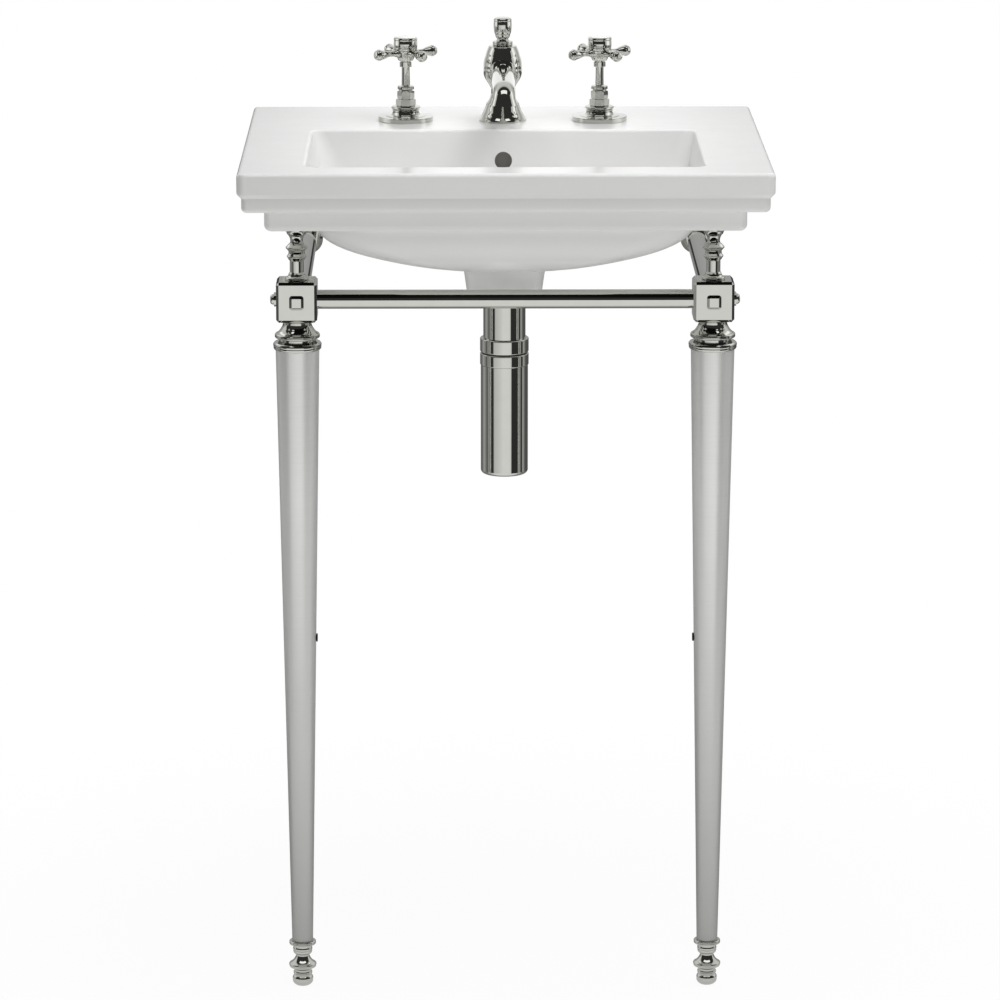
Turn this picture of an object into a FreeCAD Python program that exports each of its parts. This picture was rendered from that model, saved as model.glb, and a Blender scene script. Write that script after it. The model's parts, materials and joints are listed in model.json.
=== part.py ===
import FreeCAD, Part
import math
import os

from FreeCAD import Rotation, Vector

# A stepped rectangular basin on a two-leg stand, with a three-hole tap set and a bottle trap.
# Millimetres, +Z up, +Y towards the wall, origin on the floor under the middle of the basin.

# Fits and cuts
CUT_OVERRUN = 5.0
FIT_CLEARANCE = 0.05
RUNNING_CLEARANCE = 0.08
LOOSE_CLEARANCE = 0.3
EDGE_TOLERANCE = 0.01

# Basin rim and its stepped bands
BASIN_WIDTH = 530.0
BASIN_DEPTH = 440.0
RIM_HEIGHT = 864.0
TOP_BAND_HEIGHT = 25.5
BAND_STEP = 4.5
SECOND_BAND_HEIGHT = 14.5
UNDER_BAND_STEP = 21.5
UNDER_BAND_HEIGHT = 22.5
BASIN_CORNER_RADIUS = 8.0
RIM_ROUNDING = 4.5
RIM_BACK_ROUNDING = 1.5
STEP_ROUNDING = 3.0
SECOND_BAND_ROUNDING = 5.0
UNDER_BAND_ROUNDING = 6.5

# Bowl, and the belly that shows below the bands
FRONT_RIM = 43.0
SIDE_RIM = 66.5
BOWL_DEPTH = 108.0
BOWL_CORNER_RADIUS = 12.0
BOWL_EDGE_ROUNDING = 3.5
BOWL_WALL_DROP = 56.0
BOWL_WALL_INSET = 11.5
BOWL_LOWER_CORNER_RADIUS = 32.0
BOWL_FLOOR_RADIUS = 37.0
BOWL_FLOOR_WALL = 12.0
BELLY_SIDE_WALL = 6.0
BELLY_END_WALL = 15.75
BELLY_CORNER_RADIUS = 60.0
BOWL_FULLNESS = 1.2
BELLY_FULLNESS = 1.5
TURN_SHARES = (0.0, 0.2, 0.4, 0.6, 0.8, 1.0)
FLOOR_ROUND_SHARE = 0.96

# Tap deck, pocket under it and fixing holes in its back wall
TAP_DECK_DEPTH = 160.0
DECK_THICKNESS = 14.0
BACK_WALL = 14.0
POCKET_SIDE_WALL = 14.0
BOWL_BACK_WALL = 12.0
TAP_SPACING = 203.0
TAP_SETBACK = 96.0
TAP_HOLE_RADIUS = 17.5
WALL_BOLT_SPACING = 280.0
WALL_BOLT_RADIUS = 7.0
WALL_BOLT_DROP = 41.0

# Overflow hole and the duct behind the bowl
OVERFLOW_RADIUS = 9.0
OVERFLOW_DROP = 31.5
DUCT_WIDTH = 24.0
DUCT_DEPTH = 12.0
DUCT_INSET = 2.0
DUCT_WALL = 9.0
DUCT_TURN_SHARES = (0.0, 0.25, 0.5, 0.75, 0.9)

# Waste boss under the bowl
BOSS_TOP_RADIUS = 43.0
BOSS_BOTTOM_RADIUS = 38.0
BOSS_HEIGHT = 30.0
WASTE_HOLE_RADIUS = 23.0

# Stand: legs, feet, collars and blocks
LEG_GAP = 16.0
LEG_TOP_RADIUS = 22.0
LEG_BOTTOM_RADIUS = 10.75
LEG_WALL = 2.5
FOOT_HEIGHT = 48.0
FOOT_RADIUS = 13.8
FOOT_SPIGOT_LENGTH = 16.0
COLLAR_HEIGHT = 30.5
COLLAR_RADIUS = 24.0
COLLAR_SPIGOT_LENGTH = 20.0
BLOCK_SIZE = 41.0
BLOCK_BEVEL = 2.7
BLOCK_SPIGOT_RADIUS = 5.0
BLOCK_SPIGOT_LENGTH = 12.0
STUD_WIDTH = 14.5
STUD_HEIGHT = 3.2
STUD_BEVEL = 2.6
STUD_CORNER_RADIUS = 3.0
STUD_SPIGOT_RADIUS = 3.0
STUD_SPIGOT_LENGTH = 8.0
SET_SCREW_HEIGHT = 371.0
SET_SCREW_RADIUS = 4.2
SET_SCREW_PROUD = 1.5
FOOT_OUTLINE_SHARES = (
    (0.42, 0.0, 0.0), (0.62, 0.03, 0.1), (0.76, 0.13, 0.15), (0.645, 0.225, 0.18), (0.645, 0.245, 0.0),
    (0.69, 0.28, 0.25), (0.64, 0.32, 0.25), (0.64, 0.345, 0.0), (0.92, 0.405, -0.15),
    (1.0, 0.45, 0.2), (0.96, 0.5, 0.25), (0.51, 0.665, -0.1), (0.51, 0.69, 0.0),
    (0.7, 0.79, 0.2), (0.665, 0.865, 0.15), (0.665, 0.895, 0.0), (0.93, 0.92, 0.0),
    (0.98, 0.96, 0.25), (0.93, 1.0, 0.25),
)
COLLAR_OUTLINE_SHARES = (
    (0.93, 0.0, 0.0), (1.0, 0.12, 0.2), (0.96, 0.25, 0.2), (0.77, 0.315, 0.0),
    (0.77, 0.365, 0.0), (0.89, 0.4, 0.0), (0.94, 0.475, 0.25), (0.89, 0.55, 0.2),
    (0.68, 0.72, -0.08), (0.6, 0.87, -0.06), (0.6, 0.93, 0.0), (0.65, 1.0, 0.0),
)

# Front rail with its tie rod and dome nuts
RAIL_DROP = 142.0
RAIL_CLEARANCE = 19.9
RAIL_RADIUS = 9.6
RAIL_WALL = 2.0
TIE_ROD_RADIUS = 4.0
DOME_NUT_RADIUS = 7.2
DOME_NUT_HEIGHT = 6.4
DOME_NUT_BORE_DEPTH = 4.0
DOME_OUTLINE_SHARES = ((1.0, 0.0, 0.0), (1.0, 0.4, 0.0), (0.72, 0.44, 0.0), (0.3, 1.0, 0.25))

# Side rails and the flanges that hold them on the wall
SIDE_RAIL_RADIUS = 11.0
SIDE_RAIL_WALL = 2.0
SIDE_SPIGOT_LENGTH = 10.0
FLANGE_RADIUS = 17.0
FLANGE_THICKNESS = 13.0
FLANGE_SOCKET_DEPTH = 7.0
FLANGE_OUTLINE_SHARES = (
    (0.82, 0.0, 0.0), (0.82, 0.16, 0.0), (0.9, 0.3, -0.1), (0.98, 0.52, 0.1),
    (1.0, 0.65, 0.15), (1.0, 1.0, 0.0),
)

# Posts that carry the basin, with rubber pads
POST_RADIUS = 11.5
PAD_RADIUS = 10.0
PAD_THICKNESS = 2.0
POST_OUTLINE_SHARES = (
    (0.97, 0.0, 0.0), (0.97, 0.045, 0.3), (0.72, 0.1, -0.2), (0.61, 0.135, 0.0),
    (0.61, 0.335, 0.0), (0.7, 0.355, 0.0), (0.81, 0.395, 0.0), (0.81, 0.43, 0.3),
    (0.71, 0.465, 0.0), (0.71, 0.505, 0.0), (0.89, 0.55, 0.0), (0.89, 0.59, 0.3),
    (0.72, 0.63, 0.0), (0.57, 0.655, 0.0), (0.55, 0.7, -0.05), (0.835, 0.815, -0.1),
    (0.94, 0.87, -0.05), (0.94, 1.0, 0.0),
)

# Thread, washers and nuts that are alike under all three deck holes
TAIL_RADIUS = 12.0
WASHER_RADIUS = 24.0
WASHER_THICKNESS = 3.0
BACKNUT_RADIUS = 19.0
BACKNUT_HEIGHT = 9.0
HEX_OUTLINE_SHARES = ((0.9, 0.0, 0.0), (1.0, 0.12, 0.0), (1.0, 0.88, 0.0), (0.9, 1.0, 0.0))

# Tap: flange, bonnet with two hexagons, valve body, cartridge and spindle
TAP_FLANGE_RADIUS = 28.75
TAP_FLANGE_HEIGHT = 9.8
BONNET_RADIUS = 15.2
BONNET_HEIGHT = 27.0
BONNET_SPIGOT_LENGTH = 9.0
LOWER_HEX_RADIUS = 10.4
LOWER_HEX_HEIGHT = 7.0
UPPER_HEX_RADIUS = 9.0
UPPER_HEX_HEIGHT = 8.6
HEX_START_SHARE = 0.225
TAP_BODY_BORE_RADIUS = 9.0
TAP_BODY_TOP_GAP = 2.0
TAP_THREAD_LENGTH = 52.0
VALVE_DRUM_RADIUS = 15.0
VALVE_DRUM_HEIGHT = 24.0
INLET_TAIL_RADIUS = 10.4
INLET_TAIL_LENGTH = 26.0
INLET_BORE_RADIUS = 7.0
NIPPLE_RADIUS = 7.0
NIPPLE_BORE_RADIUS = 4.5
NIPPLE_LENGTH = 14.0
CARTRIDGE_HEIGHT = 28.0
SPINDLE_RADIUS = 4.25
SPINDLE_SEAT_DEPTH = 12.0
SPINDLE_SHOWN = 20.0
SPINDLE_GRIP = 20.0
TAP_FLANGE_OUTLINE_SHARES = (
    (0.985, 0.0, 0.0), (1.0, 0.06, 0.0), (1.0, 0.42, 0.0), (0.97, 0.5, 0.25), (0.74, 0.53, 0.0),
    (0.72, 0.58, 0.0), (0.58, 0.62, 0.0), (0.5, 0.76, -0.2), (0.48, 1.0, -0.05),
)
BONNET_OUTLINE_SHARES = (
    (0.86, 0.0, 0.0), (0.93, 0.04, 0.18), (0.86, 0.08, 0.18), (0.78, 0.08, 0.0), (0.78, 0.105, 0.0),
    (0.93, 0.105, 0.0), (1.0, 0.15, 0.18), (0.93, 0.2, 0.18), (0.72, 0.225, 0.0), (0.48, 0.225, 0.0),
    (0.48, 0.82, 0.0), (0.46, 0.835, 0.0), (0.56, 0.87, 0.0), (0.56, 0.96, 0.0), (0.5, 1.0, 0.2),
)

# Tap handle: hub, four arms with ball ends and a porcelain index
HUB_RADIUS = 12.25
HUB_HEIGHT = 31.0
ARM_REACH = 37.4
ARM_BALL_RADIUS = 5.4
ARM_HEIGHT = 14.5
ARM_COUNT = 4
ARM_ANGLE = 32.0
INDEX_RADIUS = 10.6
INDEX_HEIGHT = 2.6
INDEX_SEAT_DEPTH = 1.2
HUB_OUTLINE_SHARES = (
    (0.5, 0.0, 0.0), (0.52, 0.015, 0.0), (0.52, 0.16, 0.0), (0.44, 0.17, 0.0), (0.44, 0.19, 0.0),
    (0.6, 0.21, 0.0), (0.74, 0.36, 0.08), (0.78, 0.5, 0.0), (0.95, 0.58, -0.15),
    (1.0, 0.66, 0.1), (1.0, 0.9, 0.04), (0.95, 1.0, 0.2),
)
ARM_OUTLINE_SHARES = (
    (0.8, 0.0, 0.0), (0.74, 0.3, 0.0), (0.5, 0.45, -0.06), (0.56, 0.6, -0.04),
    (0.98, 0.82, 0.04), (0.94, 0.92, 0.2), (0.4, 0.995, 0.2),
)
INDEX_OUTLINE_SHARES = ((1.0, 0.0, 0.0), (1.0, 0.5, 0.0), (0.3, 1.0, 0.06))

# Spout body, arm and the threaded shank that holds it
SPOUT_RADIUS = 25.0
SPOUT_HEIGHT = 84.0
SPOUT_CAVITY_RADIUS = 8.5
SPOUT_CAVITY_SHARE = 0.72
SHANK_BORE_RADIUS = 9.0
SHANK_LENGTH = 72.0
SHANK_ENGAGEMENT = 12.0
ARM_ROOT_HEIGHT = 53.5
ARM_END_HEIGHT = 49.0
ARM_ROOT_RADIUS = 12.4
ARM_END_RADIUS = 11.6
ARM_BORE_RADIUS = 8.0
ARM_BEND_RADIUS = 12.2
ARM_RING_RADIUS = 14.2
ARM_RING_WIDTH = 4.0
SPOUT_REACH = 138.0
OUTLET_RADIUS = 14.0
OUTLET_FLARE_HEIGHT = 7.0
AERATOR_RADIUS = 10.5
AERATOR_HEIGHT = 4.0
AERATOR_BORE_RADIUS = 7.0
SPOUT_OUTLINE_SHARES = (
    (1.0, 0.0, 0.0), (1.0, 0.018, 0.0), (0.84, 0.09, -0.06), (0.67, 0.222, -0.04), (0.64, 0.235, 0.0),
    (0.48, 0.36, -0.08), (0.48, 0.4, 0.0), (0.72, 0.52, -0.02), (0.81, 0.66, 0.08),
    (0.72, 0.82, 0.06), (0.6, 0.925, 0.03), (0.56, 0.94, 0.2), (0.38, 0.945, 0.0),
    (0.42, 0.97, 0.3), (0.36, 1.0, 0.3),
)

# Pop-up waste: knob, lift rod, strap, pivot lever and plug
KNOB_RADIUS = 10.3
KNOB_HEIGHT = 24.5
KNOB_TRAVEL = 36.0
KNOB_SOCKET_DEPTH = 10.0
LIFT_ROD_RADIUS = 2.5
GUIDE_WALL = 1.8
STRAP_ROOM = 9.0
STRAP_BLOCK_HEIGHT = 16.0
STRAP_BLOCK_DEPTH = 10.0
STRAP_WIDTH = 14.0
STRAP_THICKNESS = 2.0
STRAP_HOLE_RADIUS = 3.6
STRAP_END_MARGIN = 9.0
STRAP_SCREW_RADIUS = 2.0
STRAP_HEAD_RADIUS = 5.0
STRAP_HEAD_HEIGHT = 6.0
PIVOT_RISE = 16.5
PIVOT_OFFSET = 26.75
PIVOT_ROD_RADIUS = 2.0
PIVOT_ROD_OVERHANG = 12.0
PIVOT_INNER_OVERHANG = 5.0
PIVOT_BALL_RADIUS = 5.0
PORT_RADIUS = 8.0
PORT_LENGTH = 11.0
PORT_INNER_RADIUS = 4.0
PIVOT_NUT_RADIUS = 10.5
PIVOT_NUT_LENGTH = 9.0
PIVOT_NUT_HOLE_RADIUS = 4.4
PIVOT_NUT_END = 2.5
PLUG_RADIUS = 27.0
PLUG_THICKNESS = 4.5
PLUG_STEM_RADIUS = 4.0
PLUG_LUG_WIDTH = 12.0
PLUG_LUG_DEPTH = 6.0
PLUG_LUG_HEIGHT = 14.0
PLUG_EYE_RADIUS = 3.3
PLUG_VANE_THICKNESS = 1.6
PLUG_VANE_HEIGHT = 30.0
PLUG_VANE_DROP = 12.0
SEAL_RADIUS = 25.0
SEAL_THICKNESS = 1.6
KNOB_OUTLINE_SHARES = (
    (0.7, 0.0, 0.0), (0.58, 0.05, 0.0), (0.6, 0.09, 0.0), (0.8, 0.29, 0.08), (0.91, 0.44, 0.06),
    (0.92, 0.84, 0.03), (0.84, 0.96, 0.15), (0.5, 1.0, 0.05),
)
PLUG_OUTLINE_SHARES = ((1.0, 0.0, 0.0), (1.0, 0.45, 0.0), (0.85, 0.8, 0.1), (0.2, 1.0, 0.03))

# Waste flange, washer, back nut and barrel
WASTE_FLANGE_RADIUS = 33.0
WASTE_FLANGE_THICKNESS = 3.0
WASTE_TAIL_RADIUS = 19.2
WASTE_TAIL_WALL = 2.2
WASTE_TAIL_ENGAGEMENT = 8.0
WASTE_WASHER_RADIUS = 31.0
WASTE_WASHER_THICKNESS = 2.5
WASTE_BACKNUT_RADIUS = 26.0
WASTE_BACKNUT_HEIGHT = 6.0
BARREL_RADIUS = 21.6
BARREL_LENGTH = 37.0
BARREL_FLOOR = 4.0

# Bottle trap and its pipe to the wall
PIPE_RADIUS = 16.0
PIPE_WALL = 1.5
TRAP_NUT_RADIUS = 24.9
TRAP_NUT_HEIGHT = 14.5
TRAP_TOP_NUT_HEIGHT = 12.5
TRAP_NUT_ROUNDING = 1.2
TRAP_SEAL_RADIUS = 23.4
TRAP_SEAL_THICKNESS = 1.2
DIP_LIP_RADIUS = 23.0
DIP_LIP_THICKNESS = 3.0
DIP_TUBE_LENGTH = 90.0
BOTTLE_RADIUS = 24.2
BOTTLE_WALL = 2.5
BOTTLE_HEIGHT = 113.5
BOTTLE_ROUNDING = 4.0
OUTLET_DROP = 21.0
NOZZLE_RADIUS = 19.0
NOZZLE_LENGTH = 12.0
PIPE_ENGAGEMENT = 8.0
OUTLET_NUT_RADIUS = 22.0
OUTLET_NUT_GAP = 1.0
OUTLET_NUT_END = 4.0
ROSE_RADIUS = 19.5
ROSE_THICKNESS = 8.0
ROSE_OUTLINE_SHARES = ((0.86, 0.0, 0.0), (0.95, 0.3, 0.15), (1.0, 0.7, 0.1), (1.0, 1.0, 0.0))

# Places worked out from the sizes above
X_AXIS = Vector(1, 0, 0)
Y_AXIS = Vector(0, 1, 0)
Z_AXIS = Vector(0, 0, 1)
SIDES = (("left", -1), ("right", 1))
GROUP_NAMES = ("block_studs", "dome_nuts", "leg_set_screws", "post_pads", "wall_flanges", "tap_cartridges")
WALL_Y = BASIN_DEPTH / 2
FRONT_Y = -WALL_Y
UNDERSIDE_Z = RIM_HEIGHT - TOP_BAND_HEIGHT - SECOND_BAND_HEIGHT - UNDER_BAND_HEIGHT
BOWL_WIDTH = BASIN_WIDTH - 2 * SIDE_RIM
BOWL_LENGTH = BASIN_DEPTH - FRONT_RIM - TAP_DECK_DEPTH
BOWL_LOWER_WIDTH = BOWL_WIDTH - 2 * BOWL_WALL_INSET
BOWL_LOWER_LENGTH = BOWL_LENGTH - 2 * BOWL_WALL_INSET
BELLY_WIDTH = BOWL_LOWER_WIDTH + 2 * BELLY_SIDE_WALL
BELLY_LENGTH = BOWL_LOWER_LENGTH + 2 * BELLY_END_WALL
BOWL_Y = FRONT_Y + FRONT_RIM + BOWL_LENGTH / 2
BOWL_BACK_Y = BOWL_Y + BOWL_LENGTH / 2
BOWL_FLOOR_Z = RIM_HEIGHT - BOWL_DEPTH
BELLY_FLOOR_Z = BOWL_FLOOR_Z - BOWL_FLOOR_WALL
BOSS_BOTTOM_Z = BELLY_FLOOR_Z - BOSS_HEIGHT
TAP_Y = WALL_Y - TAP_SETBACK
DECK_UNDER_Z = RIM_HEIGHT - DECK_THICKNESS
LEG_X = BELLY_WIDTH / 2 + LEG_GAP
LEG_Y = BOWL_Y - BOSS_TOP_RADIUS - RAIL_CLEARANCE - RAIL_RADIUS
RAIL_Z = RIM_HEIGHT - RAIL_DROP
BLOCK_BOTTOM_Z = RAIL_Z - BLOCK_SIZE / 2
BLOCK_TOP_Z = RAIL_Z + BLOCK_SIZE / 2
LEG_TOP_Z = BLOCK_BOTTOM_Z - COLLAR_HEIGHT
POST_HEIGHT = UNDERSIDE_Z - PAD_THICKNESS - BLOCK_TOP_Z
RAIL_LENGTH = 2 * LEG_X - BLOCK_SIZE
WASHER_BOTTOM_Z = DECK_UNDER_Z - WASHER_THICKNESS
BONNET_Z = RIM_HEIGHT + TAP_FLANGE_HEIGHT
CARTRIDGE_TOP_Z = BONNET_Z - BONNET_SPIGOT_LENGTH
TAP_BODY_TOP_Z = BONNET_Z - TAP_BODY_TOP_GAP
TAP_THREAD_END_Z = TAP_BODY_TOP_Z - TAP_THREAD_LENGTH - DECK_THICKNESS
HANDLE_Z = BONNET_Z + BONNET_HEIGHT + SPINDLE_SHOWN
HUB_TOP_Z = HANDLE_Z + HUB_HEIGHT
SPOUT_TOP_Z = RIM_HEIGHT + SPOUT_HEIGHT
SHANK_BOTTOM_Z = RIM_HEIGHT + SHANK_ENGAGEMENT - SHANK_LENGTH
OUTLET_Y = TAP_Y - SPOUT_REACH
KNOB_Z = SPOUT_TOP_Z + LOOSE_CLEARANCE
BACKNUT_Z = BOSS_BOTTOM_Z - WASTE_WASHER_THICKNESS - WASTE_BACKNUT_HEIGHT
BARREL_BOTTOM_Z = BACKNUT_Z - BARREL_LENGTH
WASTE_TAIL_END_Z = BACKNUT_Z - WASTE_TAIL_ENGAGEMENT
WASTE_BORE_RADIUS = WASTE_TAIL_RADIUS - WASTE_TAIL_WALL
PIVOT_Y = BOWL_Y + PIVOT_OFFSET
PIVOT_Z = BARREL_BOTTOM_Z + PIVOT_RISE
LEVER_ARM = TAP_Y - PIVOT_Y
LEVER_SWING = math.degrees(math.atan(KNOB_TRAVEL / 2 / LEVER_ARM))
PLUG_LIFT = KNOB_TRAVEL * PIVOT_OFFSET / LEVER_ARM
PLUG_EYE_Z = PIVOT_Z + PLUG_LIFT / 2
STRAP_TOP_Z = SHANK_BOTTOM_Z - KNOB_TRAVEL - STRAP_ROOM
SEAL_Z = BOWL_FLOOR_Z + LOOSE_CLEARANCE + PLUG_LIFT
STRAP_HOLE_Z = PIVOT_Z - KNOB_TRAVEL / 2
TRAP_NUT_Z = BARREL_BOTTOM_Z - TRAP_NUT_HEIGHT
TRAP_SEAL_Z = TRAP_NUT_Z - TRAP_SEAL_THICKNESS
BOTTLE_TOP_Z = TRAP_SEAL_Z - TRAP_TOP_NUT_HEIGHT
OUTLET_Z = BOTTLE_TOP_Z - OUTLET_DROP
NOZZLE_END_Y = BOWL_Y + BOTTLE_RADIUS + NOZZLE_LENGTH


# Shapes that many pieces share
def rod(radius, length, base, direction=Z_AXIS):
    """Round bar from base along direction."""
    return Part.makeCylinder(radius, length, base, direction)


def ring(outer_radius, inner_radius, length, base, direction=Z_AXIS):
    """Round bar with a bore right through."""
    bore_base = base - direction * CUT_OVERRUN
    bore = rod(inner_radius, length + 2 * CUT_OVERRUN, bore_base, direction)
    return rod(outer_radius, length, base, direction).cut(bore)


def block(x_from, x_to, y_from, y_to, z_from, z_to):
    """Box between two corners."""
    return Part.makeBox(x_to - x_from, y_to - y_from, z_to - z_from, Vector(x_from, y_from, z_from))


def turned(outline_shares, radius, height):
    """Turned solid about Z; rows hold a radius share, a height share and how far the run bows out."""
    points = [Vector(row[0] * radius, 0, row[1] * height) for row in outline_shares]
    top = Vector(0, 0, points[-1].z)
    edges = [Part.makeLine(Vector(0, 0, points[0].z), points[0])]
    for start, end, row in zip(points, points[1:], outline_shares[1:]):
        run = end - start
        bow = Vector(run.z, 0, -run.x) * row[2]
        middle = (start + end) / 2 + bow
        if row[2]:
            edges.append(Part.Arc(start, middle, end).toShape())
        else:
            edges.append(Part.makeLine(start, end))
    edges.append(Part.makeLine(points[-1], top))
    edges.append(Part.makeLine(top, edges[0].Vertexes[0].Point))
    return Part.Face(Part.Wire(edges)).revolve(Vector(0, 0, 0), Z_AXIS, 360)


def moved(shape, place, turn=None):
    """Copy of a shape turned about the origin and then moved to its place."""
    copy = shape.copy()
    copy.Placement = FreeCAD.Placement(place, turn or Rotation())
    return copy


def hexagon(radius, height, base):
    """Hexagonal prism with chamfered corners and a flat in front, standing on base."""
    corners = []
    for corner in range(7):
        angle = math.radians(60 * corner)
        corners.append(Vector(radius * math.cos(angle), radius * math.sin(angle), 0))
    prism = Part.Face(Part.makePolygon(corners)).extrude(Z_AXIS * height)
    return moved(prism.common(turned(HEX_OUTLINE_SHARES, radius, height)), base)


def rounded_rectangle(half_width, half_length, corner, z):
    """Outline with four round corners, centred on the bowl."""
    edges = []
    for quarter in range(4):
        angle = math.radians(90 * quarter)
        next_angle = angle + math.radians(90)
        x_sign = 1 if quarter in (0, 3) else -1
        y_sign = 1 if quarter in (0, 1) else -1
        centre = Vector(x_sign * (half_width - corner), BOWL_Y + y_sign * (half_length - corner), z)
        start = centre + Vector(math.cos(angle), math.sin(angle), 0) * corner
        middle_angle = (angle + next_angle) / 2
        middle = centre + Vector(math.cos(middle_angle), math.sin(middle_angle), 0) * corner
        end = centre + Vector(math.cos(next_angle), math.sin(next_angle), 0) * corner
        if edges:
            edges.append(Part.makeLine(edges[-1].Vertexes[-1].Point, start))
        edges.append(Part.Arc(start, middle, end).toShape())
    edges.append(Part.makeLine(edges[-1].Vertexes[-1].Point, edges[0].Vertexes[0].Point))
    return Part.Wire(edges)


def dished(width, length, corner, floor_radius, top_z, floor_z, fullness):
    """Solid that curves in from a rounded rectangle down to a round floor, flatter as fullness grows."""
    floor_corner = floor_radius * FLOOR_ROUND_SHARE
    sections = []
    for share in TURN_SHARES:
        turn = math.radians(90 * share)
        spread = abs(math.cos(turn)) ** fullness
        half_width = floor_radius + (width / 2 - floor_radius) * spread
        half_length = floor_radius + (length / 2 - floor_radius) * spread
        section_corner = floor_corner + (corner - floor_corner) * spread
        z = top_z - (top_z - floor_z) * math.sin(turn)
        sections.append(rounded_rectangle(half_width, half_length, section_corner, z))
    return Part.makeLoft(sections, True, False)


# Basin
def band(inset, z_from, z_to, corner):
    """One step of the rim: flush at the wall, with round corners in front."""
    half_width = BASIN_WIDTH / 2 - inset
    step = block(-half_width, half_width, FRONT_Y + inset, WALL_Y, z_from, z_to)
    uprights = [edge for edge in step.Edges if stands_in_front(edge, FRONT_Y + inset)]
    return step.makeFillet(corner, uprights)


def stands_in_front(edge, front_y):
    box = edge.BoundBox
    return box.ZLength > EDGE_TOLERANCE and box.YMax < front_y + EDGE_TOLERANCE


def edges_at(shape, z):
    """Edges that lie at height z."""
    chosen = []
    for edge in shape.Edges:
        box = edge.BoundBox
        if abs(box.ZMin - z) < EDGE_TOLERANCE and abs(box.ZMax - z) < EDGE_TOLERANCE:
            chosen.append(edge)
    return chosen


def at_wall(edge):
    return edge.BoundBox.YMin > WALL_Y - EDGE_TOLERANCE


def free_edges_at(shape, z):
    """Edges at height z without those at the wall."""
    return [edge for edge in edges_at(shape, z) if not at_wall(edge)]


def wall_edges_at(shape, z):
    return [edge for edge in edges_at(shape, z) if at_wall(edge)]


def rim_bands():
    """The three steps of the rim, with the slope between the first two."""
    top_bottom_z = RIM_HEIGHT - TOP_BAND_HEIGHT
    second_bottom_z = top_bottom_z - SECOND_BAND_HEIGHT
    second_corner = BASIN_CORNER_RADIUS - BAND_STEP / 2
    under_inset = BAND_STEP + UNDER_BAND_STEP
    top = band(0, top_bottom_z, RIM_HEIGHT, BASIN_CORNER_RADIUS)
    top = top.makeChamfer(BAND_STEP, free_edges_at(top, top_bottom_z))
    top = top.makeFillet(STEP_ROUNDING, free_edges_at(top, top_bottom_z + BAND_STEP))
    top = top.makeFillet(RIM_ROUNDING, free_edges_at(top, RIM_HEIGHT))
    top = top.makeFillet(RIM_BACK_ROUNDING, wall_edges_at(top, RIM_HEIGHT))
    second = band(BAND_STEP, second_bottom_z, RIM_HEIGHT - RIM_ROUNDING, second_corner)
    second = second.makeFillet(SECOND_BAND_ROUNDING, free_edges_at(second, second_bottom_z))
    under = band(under_inset, UNDERSIDE_Z, RIM_HEIGHT - RIM_ROUNDING, BASIN_CORNER_RADIUS)
    under = under.makeFillet(UNDER_BAND_ROUNDING, free_edges_at(under, UNDERSIDE_Z))
    return top.fuse([second, under])


def deck_pocket():
    """Room under the tap deck where the taps are fastened."""
    half_width = BASIN_WIDTH / 2 - BAND_STEP - UNDER_BAND_STEP - POCKET_SIDE_WALL
    front_y = BOWL_BACK_Y + BOWL_BACK_WALL
    return block(-half_width, half_width, front_y, WALL_Y - BACK_WALL, BELLY_FLOOR_Z, DECK_UNDER_Z)


def duct(inner_offset, outer_offset, half_width, top_z):
    """Channel shape that follows the belly's back from top_z down to the waste boss."""
    def along_belly(share, offset):
        turn = math.radians(90 * share)
        spread = math.cos(turn) ** BELLY_FULLNESS
        reach = BOSS_TOP_RADIUS + (BELLY_LENGTH / 2 - BOSS_TOP_RADIUS) * spread
        drop = (UNDERSIDE_Z - BELLY_FLOOR_Z) * math.sin(turn)
        y = BOWL_Y + reach + offset * math.cos(turn)
        return Vector(-half_width, y, UNDERSIDE_Z - drop - offset * math.sin(turn))

    inner = [along_belly(share, inner_offset) for share in DUCT_TURN_SHARES]
    outer = [along_belly(share, outer_offset) for share in DUCT_TURN_SHARES]
    inner.insert(0, Vector(-half_width, inner[0].y, top_z))
    outer.insert(0, Vector(-half_width, outer[0].y, top_z))
    inner.append(Vector(-half_width, BOWL_Y, BELLY_FLOOR_Z - inner_offset))
    outer.append(Vector(-half_width, BOWL_Y, BELLY_FLOOR_Z - outer_offset))
    outline = inner + outer[::-1] + inner[:1]
    return Part.Face(Part.makePolygon(outline)).extrude(X_AXIS * 2 * half_width)


def bowl_space():
    """Room inside the bowl, from above the rim down to the waste."""
    wall_z = RIM_HEIGHT - BOWL_WALL_DROP
    rim = rounded_rectangle(BOWL_WIDTH / 2, BOWL_LENGTH / 2, BOWL_CORNER_RADIUS, RIM_HEIGHT)
    corner = BOWL_LOWER_CORNER_RADIUS
    lower = rounded_rectangle(BOWL_LOWER_WIDTH / 2, BOWL_LOWER_LENGTH / 2, corner, wall_z)
    walls = Part.makeLoft([rim, lower], True, True)
    floor = dished(
        BOWL_LOWER_WIDTH, BOWL_LOWER_LENGTH, corner, BOWL_FLOOR_RADIUS, wall_z, BOWL_FLOOR_Z,
        BOWL_FULLNESS)
    return walls.fuse(floor)


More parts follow.
